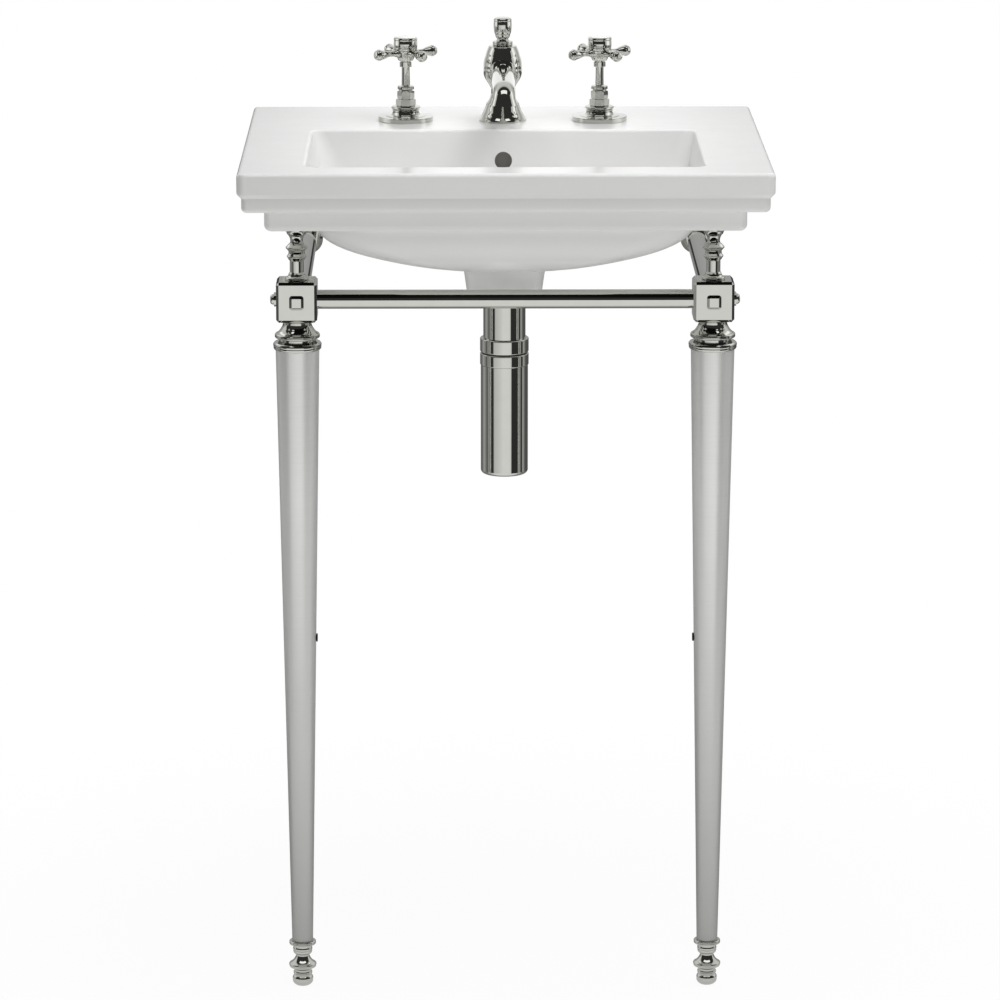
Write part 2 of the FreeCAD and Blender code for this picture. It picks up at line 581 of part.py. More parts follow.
def basin():
    ceramic = rim_bands().cut(deck_pocket())
    belly = dished(
        BELLY_WIDTH, BELLY_LENGTH, BELLY_CORNER_RADIUS, BOSS_TOP_RADIUS, UNDERSIDE_Z, BELLY_FLOOR_Z,
        BELLY_FULLNESS)
    boss_height = BOSS_HEIGHT + BOWL_FLOOR_WALL / 2
    boss_top_z = BELLY_FLOOR_Z + BOWL_FLOOR_WALL / 2
    boss_base = Vector(0, BOWL_Y, boss_top_z)
    boss = Part.makeCone(BOSS_TOP_RADIUS, BOSS_BOTTOM_RADIUS, boss_height, boss_base, -Z_AXIS)
    rib_offset = DUCT_DEPTH - DUCT_INSET + DUCT_WALL
    rib = duct(-DUCT_INSET, rib_offset, DUCT_WIDTH / 2 + DUCT_WALL, DECK_UNDER_Z)
    ceramic = ceramic.fuse([belly, boss, rib]).cut(bowl_space())
    ceramic = ceramic.makeFillet(BOWL_EDGE_ROUNDING, bowl_edges(ceramic))
    overflow_z = RIM_HEIGHT - OVERFLOW_DROP
    channel_top_z = overflow_z + OVERFLOW_RADIUS + DUCT_INSET
    recess_z = BOWL_FLOOR_Z - WASTE_FLANGE_THICKNESS
    cuts = [
        duct(-DUCT_INSET, DUCT_DEPTH - DUCT_INSET, DUCT_WIDTH / 2, channel_top_z),
        rod(OVERFLOW_RADIUS, BOWL_LENGTH / 2 + DUCT_INSET, Vector(0, BOWL_Y, overflow_z), Y_AXIS),
        rod(WASTE_HOLE_RADIUS, BOWL_DEPTH, Vector(0, BOWL_Y, BOSS_BOTTOM_Z - CUT_OVERRUN)),
        rod(WASTE_FLANGE_RADIUS + LOOSE_CLEARANCE, BOWL_DEPTH, Vector(0, BOWL_Y, recess_z)),
    ]
    for x in (-TAP_SPACING / 2, 0, TAP_SPACING / 2):
        deck_hole_base = Vector(x, TAP_Y, DECK_UNDER_Z - CUT_OVERRUN)
        cuts.append(rod(TAP_HOLE_RADIUS, DECK_THICKNESS + 2 * CUT_OVERRUN, deck_hole_base))
    for x in (-WALL_BOLT_SPACING / 2, WALL_BOLT_SPACING / 2):
        bolt_base = Vector(x, WALL_Y - BACK_WALL - CUT_OVERRUN, RIM_HEIGHT - WALL_BOLT_DROP)
        cuts.append(rod(WALL_BOLT_RADIUS, BACK_WALL + 2 * CUT_OVERRUN, bolt_base, Y_AXIS))
    return ceramic.cut(cuts).removeSplitter()


def bowl_edges(ceramic):
    """Edges of the bowl's opening on the rim."""
    chosen = []
    for edge in edges_at(ceramic, RIM_HEIGHT):
        box = edge.BoundBox
        inside_x = max(abs(box.XMin), abs(box.XMax)) < BOWL_WIDTH / 2 + EDGE_TOLERANCE
        inside_y = box.YMin > FRONT_Y + FRONT_RIM - EDGE_TOLERANCE and box.YMax < BOWL_BACK_Y + EDGE_TOLERANCE
        if inside_x and inside_y:
            chosen.append(edge)
    return chosen


# Stand
def leg_radius(z):
    """Outside radius of the tapered leg at height z."""
    share = (z - FOOT_HEIGHT) / (LEG_TOP_Z - FOOT_HEIGHT)
    return LEG_BOTTOM_RADIUS + (LEG_TOP_RADIUS - LEG_BOTTOM_RADIUS) * share


def leg(x, inward):
    height = LEG_TOP_Z - FOOT_HEIGHT
    base = Vector(x, LEG_Y, FOOT_HEIGHT)
    tube = Part.makeCone(LEG_BOTTOM_RADIUS, LEG_TOP_RADIUS, height, base)
    tube = tube.cut(Part.makeCone(LEG_BOTTOM_RADIUS - LEG_WALL, LEG_TOP_RADIUS - LEG_WALL, height, base))
    hole = rod(SET_SCREW_RADIUS + FIT_CLEARANCE, BLOCK_SIZE, Vector(x, LEG_Y, SET_SCREW_HEIGHT), inward)
    return tube.cut(hole)


def leg_set_screw(x, inward):
    reach = leg_radius(SET_SCREW_HEIGHT) + SET_SCREW_PROUD
    length = LEG_WALL + SET_SCREW_PROUD
    base = Vector(x, LEG_Y, SET_SCREW_HEIGHT) + inward * (reach - length)
    screw = rod(SET_SCREW_RADIUS, length, base, inward)
    socket = rod(SET_SCREW_RADIUS / 2, length, base + inward * SET_SCREW_PROUD, inward)
    return screw.cut(socket)


def tapered_spigot(x, z_from, z_to):
    """Plug that fills the leg's bore between two heights."""
    lower = leg_radius(z_from) - LEG_WALL - FIT_CLEARANCE
    upper = leg_radius(z_to) - LEG_WALL - FIT_CLEARANCE
    return Part.makeCone(lower, upper, z_to - z_from, Vector(x, LEG_Y, z_from))


def foot(x):
    turning = moved(turned(FOOT_OUTLINE_SHARES, FOOT_RADIUS, FOOT_HEIGHT), Vector(x, LEG_Y, 0))
    return turning.fuse(tapered_spigot(x, FOOT_HEIGHT, FOOT_HEIGHT + FOOT_SPIGOT_LENGTH))


def leg_collar(x):
    turning = moved(turned(COLLAR_OUTLINE_SHARES, COLLAR_RADIUS, COLLAR_HEIGHT), Vector(x, LEG_Y, LEG_TOP_Z))
    stud = rod(BLOCK_SPIGOT_RADIUS, BLOCK_SPIGOT_LENGTH, Vector(x, LEG_Y, BLOCK_BOTTOM_Z))
    return turning.fuse([tapered_spigot(x, LEG_TOP_Z - COLLAR_SPIGOT_LENGTH, LEG_TOP_Z), stud])


def corner_block(x):
    half = BLOCK_SIZE / 2
    cube = block(x - half, x + half, LEG_Y - half, LEG_Y + half, BLOCK_BOTTOM_Z, BLOCK_TOP_Z)
    cube = cube.makeChamfer(BLOCK_BEVEL, cube.Edges)
    spigot_radius = BLOCK_SPIGOT_RADIUS + FIT_CLEARANCE
    centre = Vector(x, LEG_Y, RAIL_Z)
    cuts = [
        rod(TIE_ROD_RADIUS + FIT_CLEARANCE, BLOCK_SIZE, centre - X_AXIS * half, X_AXIS),
        rod(spigot_radius, BLOCK_SPIGOT_LENGTH, centre - Z_AXIS * half, Z_AXIS),
        rod(spigot_radius, BLOCK_SPIGOT_LENGTH, centre + Z_AXIS * half, -Z_AXIS),
        rod(spigot_radius, SIDE_SPIGOT_LENGTH, centre + Y_AXIS * half, -Y_AXIS),
        rod(STUD_SPIGOT_RADIUS + FIT_CLEARANCE, STUD_SPIGOT_LENGTH, centre - Y_AXIS * half, Y_AXIS),
    ]
    return cube.cut(cuts)


def block_stud(x):
    """Square stud with round corners and a bevelled front on the block's face."""
    half = STUD_WIDTH / 2
    face_y = LEG_Y - BLOCK_SIZE / 2
    front_y = face_y - STUD_HEIGHT
    head = block(x - half, x + half, front_y, face_y, RAIL_Z - half, RAIL_Z + half)
    corners = [edge for edge in head.Edges if edge.BoundBox.YLength > STUD_HEIGHT - EDGE_TOLERANCE]
    head = head.makeFillet(STUD_CORNER_RADIUS, corners)
    front = [edge for edge in head.Edges if edge.BoundBox.YMax < front_y + EDGE_TOLERANCE]
    head = head.makeChamfer(STUD_BEVEL, front)
    return head.fuse(rod(STUD_SPIGOT_RADIUS, STUD_SPIGOT_LENGTH, Vector(x, face_y, RAIL_Z), Y_AXIS))


def dome_nut(x, outward):
    turn = Rotation(Z_AXIS, X_AXIS * outward)
    face = Vector(x + outward * BLOCK_SIZE / 2, LEG_Y, RAIL_Z)
    nut = moved(turned(DOME_OUTLINE_SHARES, DOME_NUT_RADIUS, DOME_NUT_HEIGHT), face, turn)
    return nut.cut(rod(TIE_ROD_RADIUS + FIT_CLEARANCE, DOME_NUT_BORE_DEPTH, face, X_AXIS * outward))


def front_rail():
    base = Vector(-RAIL_LENGTH / 2, LEG_Y, RAIL_Z)
    return ring(RAIL_RADIUS, RAIL_RADIUS - RAIL_WALL, RAIL_LENGTH, base, X_AXIS)


def rail_tie_rod():
    half = LEG_X + BLOCK_SIZE / 2 + DOME_NUT_BORE_DEPTH
    return rod(TIE_ROD_RADIUS, 2 * half, Vector(-half, LEG_Y, RAIL_Z), X_AXIS)


def side_rail(x):
    """Tube from the block to the flange, with a solid stud in front."""
    front_y = LEG_Y + BLOCK_SIZE / 2
    length = WALL_Y - FLANGE_THICKNESS + FLANGE_SOCKET_DEPTH - front_y
    base = Vector(x, front_y, RAIL_Z)
    tube = ring(SIDE_RAIL_RADIUS, SIDE_RAIL_RADIUS - SIDE_RAIL_WALL, length, base, Y_AXIS)
    plug = rod(SIDE_RAIL_RADIUS - SIDE_RAIL_WALL, SIDE_SPIGOT_LENGTH, base, Y_AXIS)
    stud = rod(BLOCK_SPIGOT_RADIUS, SIDE_SPIGOT_LENGTH, base, -Y_AXIS)
    return tube.fuse([plug, stud])


def wall_flange(x):
    front_y = WALL_Y - FLANGE_THICKNESS
    centre = Vector(x, front_y, RAIL_Z)
    facing_wall = Rotation(Z_AXIS, Y_AXIS)
    disc = moved(turned(FLANGE_OUTLINE_SHARES, FLANGE_RADIUS, FLANGE_THICKNESS), centre, facing_wall)
    return disc.cut(rod(SIDE_RAIL_RADIUS + FIT_CLEARANCE, FLANGE_SOCKET_DEPTH, centre, Y_AXIS))


def basin_post(x):
    turning = moved(turned(POST_OUTLINE_SHARES, POST_RADIUS, POST_HEIGHT), Vector(x, LEG_Y, BLOCK_TOP_Z))
    return turning.fuse(rod(BLOCK_SPIGOT_RADIUS, BLOCK_SPIGOT_LENGTH, Vector(x, LEG_Y, BLOCK_TOP_Z), -Z_AXIS))


def post_pad(x):
    return rod(PAD_RADIUS, PAD_THICKNESS, Vector(x, LEG_Y, UNDERSIDE_Z - PAD_THICKNESS))


# Taps
def deck_washer(x):
    base = Vector(x, TAP_Y, WASHER_BOTTOM_Z)
    return ring(WASHER_RADIUS, TAIL_RADIUS + FIT_CLEARANCE, WASHER_THICKNESS, base)


def deck_backnut(x):
    base = Vector(x, TAP_Y, WASHER_BOTTOM_Z - BACKNUT_HEIGHT)
    bore = rod(TAIL_RADIUS + FIT_CLEARANCE, BACKNUT_HEIGHT, base)
    return hexagon(BACKNUT_RADIUS, BACKNUT_HEIGHT, base).cut(bore)


def tap_flange(x):
    base = Vector(x, TAP_Y, RIM_HEIGHT)
    disc = moved(turned(TAP_FLANGE_OUTLINE_SHARES, TAP_FLANGE_RADIUS, TAP_FLANGE_HEIGHT), base)
    return disc.cut(rod(TAIL_RADIUS + FIT_CLEARANCE, TAP_FLANGE_HEIGHT, base))


def tap_bonnet(x):
    base = Vector(x, TAP_Y, BONNET_Z)
    hex_base = base + Z_AXIS * BONNET_HEIGHT * HEX_START_SHARE
    upper_base = hex_base + Z_AXIS * LOWER_HEX_HEIGHT
    spigot_radius = TAP_BODY_BORE_RADIUS - FIT_CLEARANCE
    core = moved(turned(BONNET_OUTLINE_SHARES, BONNET_RADIUS, BONNET_HEIGHT), base)
    bonnet = core.fuse([
        hexagon(LOWER_HEX_RADIUS, LOWER_HEX_HEIGHT, hex_base),
        hexagon(UPPER_HEX_RADIUS, UPPER_HEX_HEIGHT, upper_base),
        rod(spigot_radius, BONNET_SPIGOT_LENGTH, base, -Z_AXIS),
    ])
    bore_length = BONNET_HEIGHT + BONNET_SPIGOT_LENGTH
    return bonnet.cut(rod(SPINDLE_RADIUS + RUNNING_CLEARANCE, bore_length, Vector(x, TAP_Y, CARTRIDGE_TOP_Z)))


def tap_body(x, inward):
    """Valve body: thread through the deck, drum with the hose nipple and inlet tail."""
    drum_z = TAP_THREAD_END_Z - VALVE_DRUM_HEIGHT
    thread_length = TAP_BODY_TOP_Z - TAP_THREAD_END_Z
    cartridge_z = CARTRIDGE_TOP_Z - CARTRIDGE_HEIGHT
    nipple_z = drum_z + VALVE_DRUM_HEIGHT / 2
    nipple_reach = VALVE_DRUM_RADIUS + NIPPLE_LENGTH
    body = rod(TAIL_RADIUS, thread_length, Vector(x, TAP_Y, TAP_THREAD_END_Z)).fuse([
        rod(VALVE_DRUM_RADIUS, VALVE_DRUM_HEIGHT, Vector(x, TAP_Y, drum_z)),
        rod(INLET_TAIL_RADIUS, INLET_TAIL_LENGTH, Vector(x, TAP_Y, drum_z), -Z_AXIS),
        rod(NIPPLE_RADIUS, nipple_reach, Vector(x, TAP_Y, nipple_z), inward),
    ])
    tail_end_z = drum_z - INLET_TAIL_LENGTH
    return body.cut([
        rod(TAP_BODY_BORE_RADIUS, TAP_BODY_TOP_Z - cartridge_z, Vector(x, TAP_Y, cartridge_z)),
        rod(INLET_BORE_RADIUS, cartridge_z - tail_end_z, Vector(x, TAP_Y, tail_end_z)),
        rod(NIPPLE_BORE_RADIUS, nipple_reach, Vector(x, TAP_Y, nipple_z), inward),
    ])


def tap_cartridge(x):
    base = Vector(x, TAP_Y, CARTRIDGE_TOP_Z - CARTRIDGE_HEIGHT)
    seat_base = Vector(x, TAP_Y, CARTRIDGE_TOP_Z - SPINDLE_SEAT_DEPTH - LOOSE_CLEARANCE)
    seat_depth = SPINDLE_SEAT_DEPTH + LOOSE_CLEARANCE
    barrel = rod(TAP_BODY_BORE_RADIUS - FIT_CLEARANCE, CARTRIDGE_HEIGHT, base)
    return barrel.cut(rod(SPINDLE_RADIUS + RUNNING_CLEARANCE, seat_depth, seat_base))


def tap_spindle(x):
    start_z = CARTRIDGE_TOP_Z - SPINDLE_SEAT_DEPTH
    return rod(SPINDLE_RADIUS, HANDLE_Z + SPINDLE_GRIP - start_z, Vector(x, TAP_Y, start_z))


def tap_handle(x):
    """Hub with a cross of four ball-ended arms."""
    base = Vector(x, TAP_Y, HANDLE_Z)
    hub = moved(turned(HUB_OUTLINE_SHARES, HUB_RADIUS, HUB_HEIGHT), base)
    arm = turned(ARM_OUTLINE_SHARES, ARM_BALL_RADIUS, ARM_REACH)
    lying = Rotation(Z_AXIS, X_AXIS)
    arms = []
    for count in range(ARM_COUNT):
        angle = ARM_ANGLE + 360 * count / ARM_COUNT
        arms.append(moved(arm, base + Z_AXIS * ARM_HEIGHT, Rotation(Z_AXIS, angle).multiply(lying)))
    seat_z = HUB_TOP_Z - INDEX_SEAT_DEPTH
    return hub.fuse(arms).cut([
        rod(SPINDLE_RADIUS + FIT_CLEARANCE, SPINDLE_GRIP, base),
        rod(INDEX_RADIUS + FIT_CLEARANCE, INDEX_SEAT_DEPTH, Vector(x, TAP_Y, seat_z)),
    ])


def tap_index(x):
    seat = Vector(x, TAP_Y, HUB_TOP_Z - INDEX_SEAT_DEPTH)
    return moved(turned(INDEX_OUTLINE_SHARES, INDEX_RADIUS, INDEX_HEIGHT), seat)


# Spout
SPOUT_BASE = Vector(0, TAP_Y, RIM_HEIGHT)
ARM_ROOT = Vector(0, TAP_Y, RIM_HEIGHT + ARM_ROOT_HEIGHT)
ARM_CORNER = Vector(0, OUTLET_Y, RIM_HEIGHT + ARM_END_HEIGHT)
ARM_RUN = (ARM_CORNER - ARM_ROOT).normalize()
ARM_TURN = 90 - math.degrees(math.asin(-ARM_RUN.z))
BEND_TANGENT = ARM_BEND_RADIUS * math.tan(math.radians(ARM_TURN / 2))
BEND_START = ARM_CORNER - ARM_RUN * BEND_TANGENT
OUTLET_CENTRE_Z = ARM_CORNER.z - BEND_TANGENT


def arm_tube(root_radius, end_radius):
    """Straight run from the spout's axis and the bend down to the outlet."""
    root = Part.Wire(Part.makeCircle(root_radius, ARM_ROOT, ARM_RUN))
    end = Part.Wire(Part.makeCircle(end_radius, BEND_START, ARM_RUN))
    run = Part.makeLoft([root, end], True, True)
    bend_centre = Vector(0, OUTLET_Y + ARM_BEND_RADIUS, OUTLET_CENTRE_Z)
    return run.fuse(Part.Face(end).revolve(bend_centre, X_AXIS, ARM_TURN))


def spout_outside():
    return moved(turned(SPOUT_OUTLINE_SHARES, SPOUT_RADIUS, SPOUT_HEIGHT), SPOUT_BASE)


def spout_body():
    cavity_top = SPOUT_HEIGHT * SPOUT_CAVITY_SHARE
    guide_radius = LIFT_ROD_RADIUS + RUNNING_CLEARANCE + GUIDE_WALL
    return spout_outside().cut([
        rod(TAIL_RADIUS + FIT_CLEARANCE, SHANK_ENGAGEMENT, SPOUT_BASE),
        rod(SPOUT_CAVITY_RADIUS, cavity_top, SPOUT_BASE),
        rod(guide_radius + FIT_CLEARANCE, SPOUT_HEIGHT, SPOUT_BASE),
        rod(ARM_BORE_RADIUS, SPOUT_REACH / 2, ARM_ROOT, ARM_RUN),
    ])


def spout_arm():
    """Arm that starts at the bulb with a ring round its root and ends in a flared outlet."""
    ring_start = ARM_ROOT + ARM_RUN * (SPOUT_RADIUS - ARM_RING_WIDTH)
    outlet = Vector(0, OUTLET_Y, OUTLET_CENTRE_Z)
    tube = arm_tube(ARM_ROOT_RADIUS, ARM_END_RADIUS).fuse([
        rod(ARM_RING_RADIUS, ARM_RING_WIDTH, ring_start, ARM_RUN),
        Part.makeCone(OUTLET_RADIUS, ARM_END_RADIUS, OUTLET_FLARE_HEIGHT, outlet),
    ])
    return tube.cut([
        spout_outside(),
        arm_tube(ARM_BORE_RADIUS, ARM_BORE_RADIUS),
        rod(AERATOR_RADIUS + FIT_CLEARANCE, AERATOR_HEIGHT, outlet),
    ])


def spout_aerator():
    outlet = Vector(0, OUTLET_Y, OUTLET_CENTRE_Z)
    return ring(AERATOR_RADIUS, AERATOR_BORE_RADIUS, AERATOR_HEIGHT, outlet)


def spout_shank():
    return ring(TAIL_RADIUS, SHANK_BORE_RADIUS, SHANK_LENGTH, Vector(0, TAP_Y, SHANK_BOTTOM_Z))


def rod_guide_tube():
    """Thin tube that keeps the lift rod apart from the water in the spout."""
    bore_radius = LIFT_ROD_RADIUS + RUNNING_CLEARANCE
    length = SPOUT_TOP_Z - SHANK_BOTTOM_Z
    return ring(bore_radius + GUIDE_WALL, bore_radius, length, Vector(0, TAP_Y, SHANK_BOTTOM_Z))


# Pop-up linkage
def popup_knob():
    base = Vector(0, TAP_Y, KNOB_Z)
    knob = moved(turned(KNOB_OUTLINE_SHARES, KNOB_RADIUS, KNOB_HEIGHT), base)
    return knob.cut(rod(LIFT_ROD_RADIUS + FIT_CLEARANCE, KNOB_SOCKET_DEPTH, base))


def lift_rod():
    bottom_z = STRAP_TOP_Z - STRAP_BLOCK_HEIGHT
    return rod(LIFT_ROD_RADIUS, KNOB_Z + KNOB_SOCKET_DEPTH - bottom_z, Vector(0, TAP_Y, bottom_z))


def clevis_strap():
    """Strap that hangs from the lift rod, with a hole for the lever's outer end."""
    half = STRAP_WIDTH / 2
    block_bottom_z = STRAP_TOP_Z - STRAP_BLOCK_HEIGHT
    end_z = STRAP_HOLE_Z - STRAP_END_MARGIN
    half_depth = STRAP_BLOCK_DEPTH / 2
    half_plate = STRAP_THICKNESS / 2
    clamp = block(-half, half, TAP_Y - half_depth, TAP_Y + half_depth, block_bottom_z, STRAP_TOP_Z)
    rod_hole = rod(LIFT_ROD_RADIUS + FIT_CLEARANCE, STRAP_BLOCK_HEIGHT, Vector(0, TAP_Y, block_bottom_z))
    screw_place = Vector(0, TAP_Y - half_depth, block_bottom_z + STRAP_BLOCK_HEIGHT / 2)
    screw_hole = rod(STRAP_SCREW_RADIUS + FIT_CLEARANCE, half_depth, screw_place, Y_AXIS)
    plate = block(-half, half, TAP_Y - half_plate, TAP_Y + half_plate, end_z, block_bottom_z)
    lever_hole = Vector(0, TAP_Y - STRAP_THICKNESS, STRAP_HOLE_Z)
    plate = plate.cut(rod(STRAP_HOLE_RADIUS, 2 * STRAP_THICKNESS, lever_hole, Y_AXIS))
    return clamp.cut([rod_hole, screw_hole]).fuse(plate)


def strap_screw():
    face_y = TAP_Y - STRAP_BLOCK_DEPTH / 2
    screw_z = STRAP_TOP_Z - STRAP_BLOCK_HEIGHT / 2
    shank_length = STRAP_BLOCK_DEPTH / 2 - LIFT_ROD_RADIUS - FIT_CLEARANCE
    head = rod(STRAP_HEAD_RADIUS, STRAP_HEAD_HEIGHT, Vector(0, face_y, screw_z), -Y_AXIS)
    return head.fuse(rod(STRAP_SCREW_RADIUS, shank_length, Vector(0, face_y, screw_z), Y_AXIS))


def pivot_rod():
    """Lever with a ball in the barrel's port, its outer end down at rest."""
    inner_length = PIVOT_OFFSET + PIVOT_INNER_OVERHANG
    length = inner_length + LEVER_ARM + PIVOT_ROD_OVERHANG
    lever = rod(PIVOT_ROD_RADIUS, length, Vector(0, -inner_length, 0), Y_AXIS)
    lever = lever.fuse(Part.makeSphere(PIVOT_BALL_RADIUS))
    return moved(lever, Vector(0, PIVOT_Y, PIVOT_Z), Rotation(X_AXIS, -LEVER_SWING))


def pivot_nut():
    end_y = BOWL_Y + BARREL_RADIUS + PORT_LENGTH + PIVOT_NUT_END
    base = Vector(0, end_y - PIVOT_NUT_LENGTH, PIVOT_Z)
    nut = rod(PIVOT_NUT_RADIUS, PIVOT_NUT_LENGTH, base, Y_AXIS)
    return nut.cut([
        rod(PORT_RADIUS + FIT_CLEARANCE, PIVOT_NUT_LENGTH - PIVOT_NUT_END, base, Y_AXIS),
        rod(PIVOT_NUT_HOLE_RADIUS, PIVOT_NUT_LENGTH, base, Y_AXIS),
    ])


def popup_plug():
    """Cap on a stem with guide vanes and an eye for the lever, raised at rest."""
    cap_z = SEAL_Z + SEAL_THICKNESS
    lug_bottom_z = PLUG_EYE_Z - PLUG_LUG_HEIGHT / 2
    vane_reach = WASTE_BORE_RADIUS - LOOSE_CLEARANCE
    vane_top_z = SEAL_Z - PLUG_VANE_DROP
    half = PLUG_VANE_THICKNESS / 2
    half_width = PLUG_LUG_WIDTH / 2
    half_depth = PLUG_LUG_DEPTH / 2
    vane = block(-vane_reach, vane_reach, -half, half, vane_top_z - PLUG_VANE_HEIGHT, vane_top_z)
    centre = Vector(0, BOWL_Y, 0)
    plug = moved(turned(PLUG_OUTLINE_SHARES, PLUG_RADIUS, PLUG_THICKNESS), centre + Z_AXIS * cap_z).fuse([
        rod(PLUG_STEM_RADIUS, cap_z - PLUG_EYE_Z, centre + Z_AXIS * PLUG_EYE_Z),
        moved(vane, centre),
        moved(vane, centre, Rotation(Z_AXIS, 90)),
        block(-half_width, half_width, BOWL_Y - half_depth, BOWL_Y + half_depth, lug_bottom_z,
              lug_bottom_z + PLUG_LUG_HEIGHT),
    ])
    eye_base = Vector(0, BOWL_Y - PLUG_LUG_DEPTH, PLUG_EYE_Z)
    return plug.cut(rod(PLUG_EYE_RADIUS, 2 * PLUG_LUG_DEPTH, eye_base, Y_AXIS))


def plug_seal():
    return ring(SEAL_RADIUS, PLUG_STEM_RADIUS + FIT_CLEARANCE, SEAL_THICKNESS, Vector(0, BOWL_Y, SEAL_Z))


# Waste
def waste_flange():
    """Flange in the bowl's floor with the threaded tail that goes through the boss."""
    flange_z = BOWL_FLOOR_Z - WASTE_FLANGE_THICKNESS
    disc = rod(WASTE_FLANGE_RADIUS, WASTE_FLANGE_THICKNESS, Vector(0, BOWL_Y, flange_z))
    tail = rod(WASTE_TAIL_RADIUS, flange_z - WASTE_TAIL_END_Z, Vector(0, BOWL_Y, WASTE_TAIL_END_Z))
    bore = rod(WASTE_BORE_RADIUS, BOWL_FLOOR_Z - WASTE_TAIL_END_Z, Vector(0, BOWL_Y, WASTE_TAIL_END_Z))
    return disc.fuse(tail).cut(bore)


def waste_washer():
    base = Vector(0, BOWL_Y, BOSS_BOTTOM_Z - WASTE_WASHER_THICKNESS)
    return ring(WASTE_WASHER_RADIUS, WASTE_TAIL_RADIUS + FIT_CLEARANCE, WASTE_WASHER_THICKNESS, base)


def waste_backnut():
    base = Vector(0, BOWL_Y, BACKNUT_Z)
    bore = rod(WASTE_TAIL_RADIUS + FIT_CLEARANCE, WASTE_BACKNUT_HEIGHT, base)
    return hexagon(WASTE_BACKNUT_RADIUS, WASTE_BACKNUT_HEIGHT, base).cut(bore)


def waste_barrel():
    """Barrel with the lever's port behind and a tail that enters the trap."""
    base = Vector(0, BOWL_Y, BARREL_BOTTOM_Z)
    centre = Vector(0, BOWL_Y, PIVOT_Z)
    port_end = BARREL_RADIUS + PORT_LENGTH
    tail_length = BARREL_BOTTOM_Z - BOTTLE_TOP_Z - DIP_LIP_THICKNESS
    ball_bore_start = PIVOT_OFFSET - PIVOT_BALL_RADIUS - RUNNING_CLEARANCE
    barrel = rod(BARREL_RADIUS, BARREL_LENGTH, base).fuse([
        rod(PORT_RADIUS, port_end, centre, Y_AXIS),
        rod(PIPE_RADIUS, tail_length, base, -Z_AXIS),
    ])
    return barrel.cut([
        rod(WASTE_TAIL_RADIUS + FIT_CLEARANCE, WASTE_TAIL_ENGAGEMENT, Vector(0, BOWL_Y, WASTE_TAIL_END_Z)),
        rod(WASTE_BORE_RADIUS, BARREL_LENGTH - BARREL_FLOOR, base + Z_AXIS * BARREL_FLOOR),
        rod(PIPE_RADIUS - PIPE_WALL, tail_length + BARREL_LENGTH, base - Z_AXIS * tail_length),
        rod(PORT_INNER_RADIUS, port_end, centre, Y_AXIS),
        rod(PIVOT_BALL_RADIUS + RUNNING_CLEARANCE, port_end, centre + Y_AXIS * ball_bore_start, Y_AXIS),
    ])


# Trap
def trap_nut(z, height):
    """Plain round nut with softened edges."""
    nut = rod(TRAP_NUT_RADIUS, height, Vector(0, BOWL_Y, z))
    nut = nut.makeFillet(TRAP_NUT_ROUNDING, nut.Edges[:1] + nut.Edges[2:])
    return nut.cut(rod(PIPE_RADIUS + FIT_CLEARANCE, height, Vector(0, BOWL_Y, z)))


def trap_inlet_nut():
    return trap_nut(TRAP_NUT_Z, TRAP_NUT_HEIGHT)


def trap_top_nut():
    lip_room = rod(DIP_LIP_RADIUS + FIT_CLEARANCE, DIP_LIP_THICKNESS, Vector(0, BOWL_Y, BOTTLE_TOP_Z))
    return trap_nut(BOTTLE_TOP_Z, TRAP_TOP_NUT_HEIGHT).cut(lip_room)


def trap_seal():
    base = Vector(0, BOWL_Y, TRAP_SEAL_Z)
    return ring(TRAP_SEAL_RADIUS, PIPE_RADIUS + FIT_CLEARANCE, TRAP_SEAL_THICKNESS, base)


def trap_dip_tube():
    lip = rod(DIP_LIP_RADIUS, DIP_LIP_THICKNESS, Vector(0, BOWL_Y, BOTTLE_TOP_Z))
    tube = rod(PIPE_RADIUS, DIP_TUBE_LENGTH, Vector(0, BOWL_Y, BOTTLE_TOP_Z), -Z_AXIS)
    bore_length = DIP_TUBE_LENGTH + DIP_LIP_THICKNESS
    bore = rod(PIPE_RADIUS - PIPE_WALL, bore_length, Vector(0, BOWL_Y, BOTTLE_TOP_Z - DIP_TUBE_LENGTH))
    return lip.fuse(tube).cut(bore)


def trap_bottle():
    """Closed cup with the outlet nozzle behind."""
    bottom_z = BOTTLE_TOP_Z - BOTTLE_HEIGHT
    cup = rod(BOTTLE_RADIUS, BOTTLE_HEIGHT, Vector(0, BOWL_Y, bottom_z))
    cup = cup.makeFillet(BOTTLE_ROUNDING, edges_at(cup, bottom_z))
    outlet = Vector(0, BOWL_Y, OUTLET_Z)
    nozzle = rod(NOZZLE_RADIUS, BOTTLE_RADIUS + NOZZLE_LENGTH, outlet, Y_AXIS)
    socket = Vector(0, NOZZLE_END_Y - PIPE_ENGAGEMENT, OUTLET_Z)
    floor = Vector(0, BOWL_Y, bottom_z + BOTTLE_WALL)
    return cup.fuse(nozzle).cut([
        rod(BOTTLE_RADIUS - BOTTLE_WALL, BOTTLE_HEIGHT - BOTTLE_WALL, floor),
        rod(PIPE_RADIUS - PIPE_WALL, BOTTLE_RADIUS + NOZZLE_LENGTH, outlet, Y_AXIS),
        rod(PIPE_RADIUS + FIT_CLEARANCE, PIPE_ENGAGEMENT, socket, Y_AXIS),
    ])


def trap_outlet_pipe():
    start_y = NOZZLE_END_Y - PIPE_ENGAGEMENT
    return ring(PIPE_RADIUS, PIPE_RADIUS - PIPE_WALL, WALL_Y - start_y, Vector(0, start_y, OUTLET_Z), Y_AXIS)


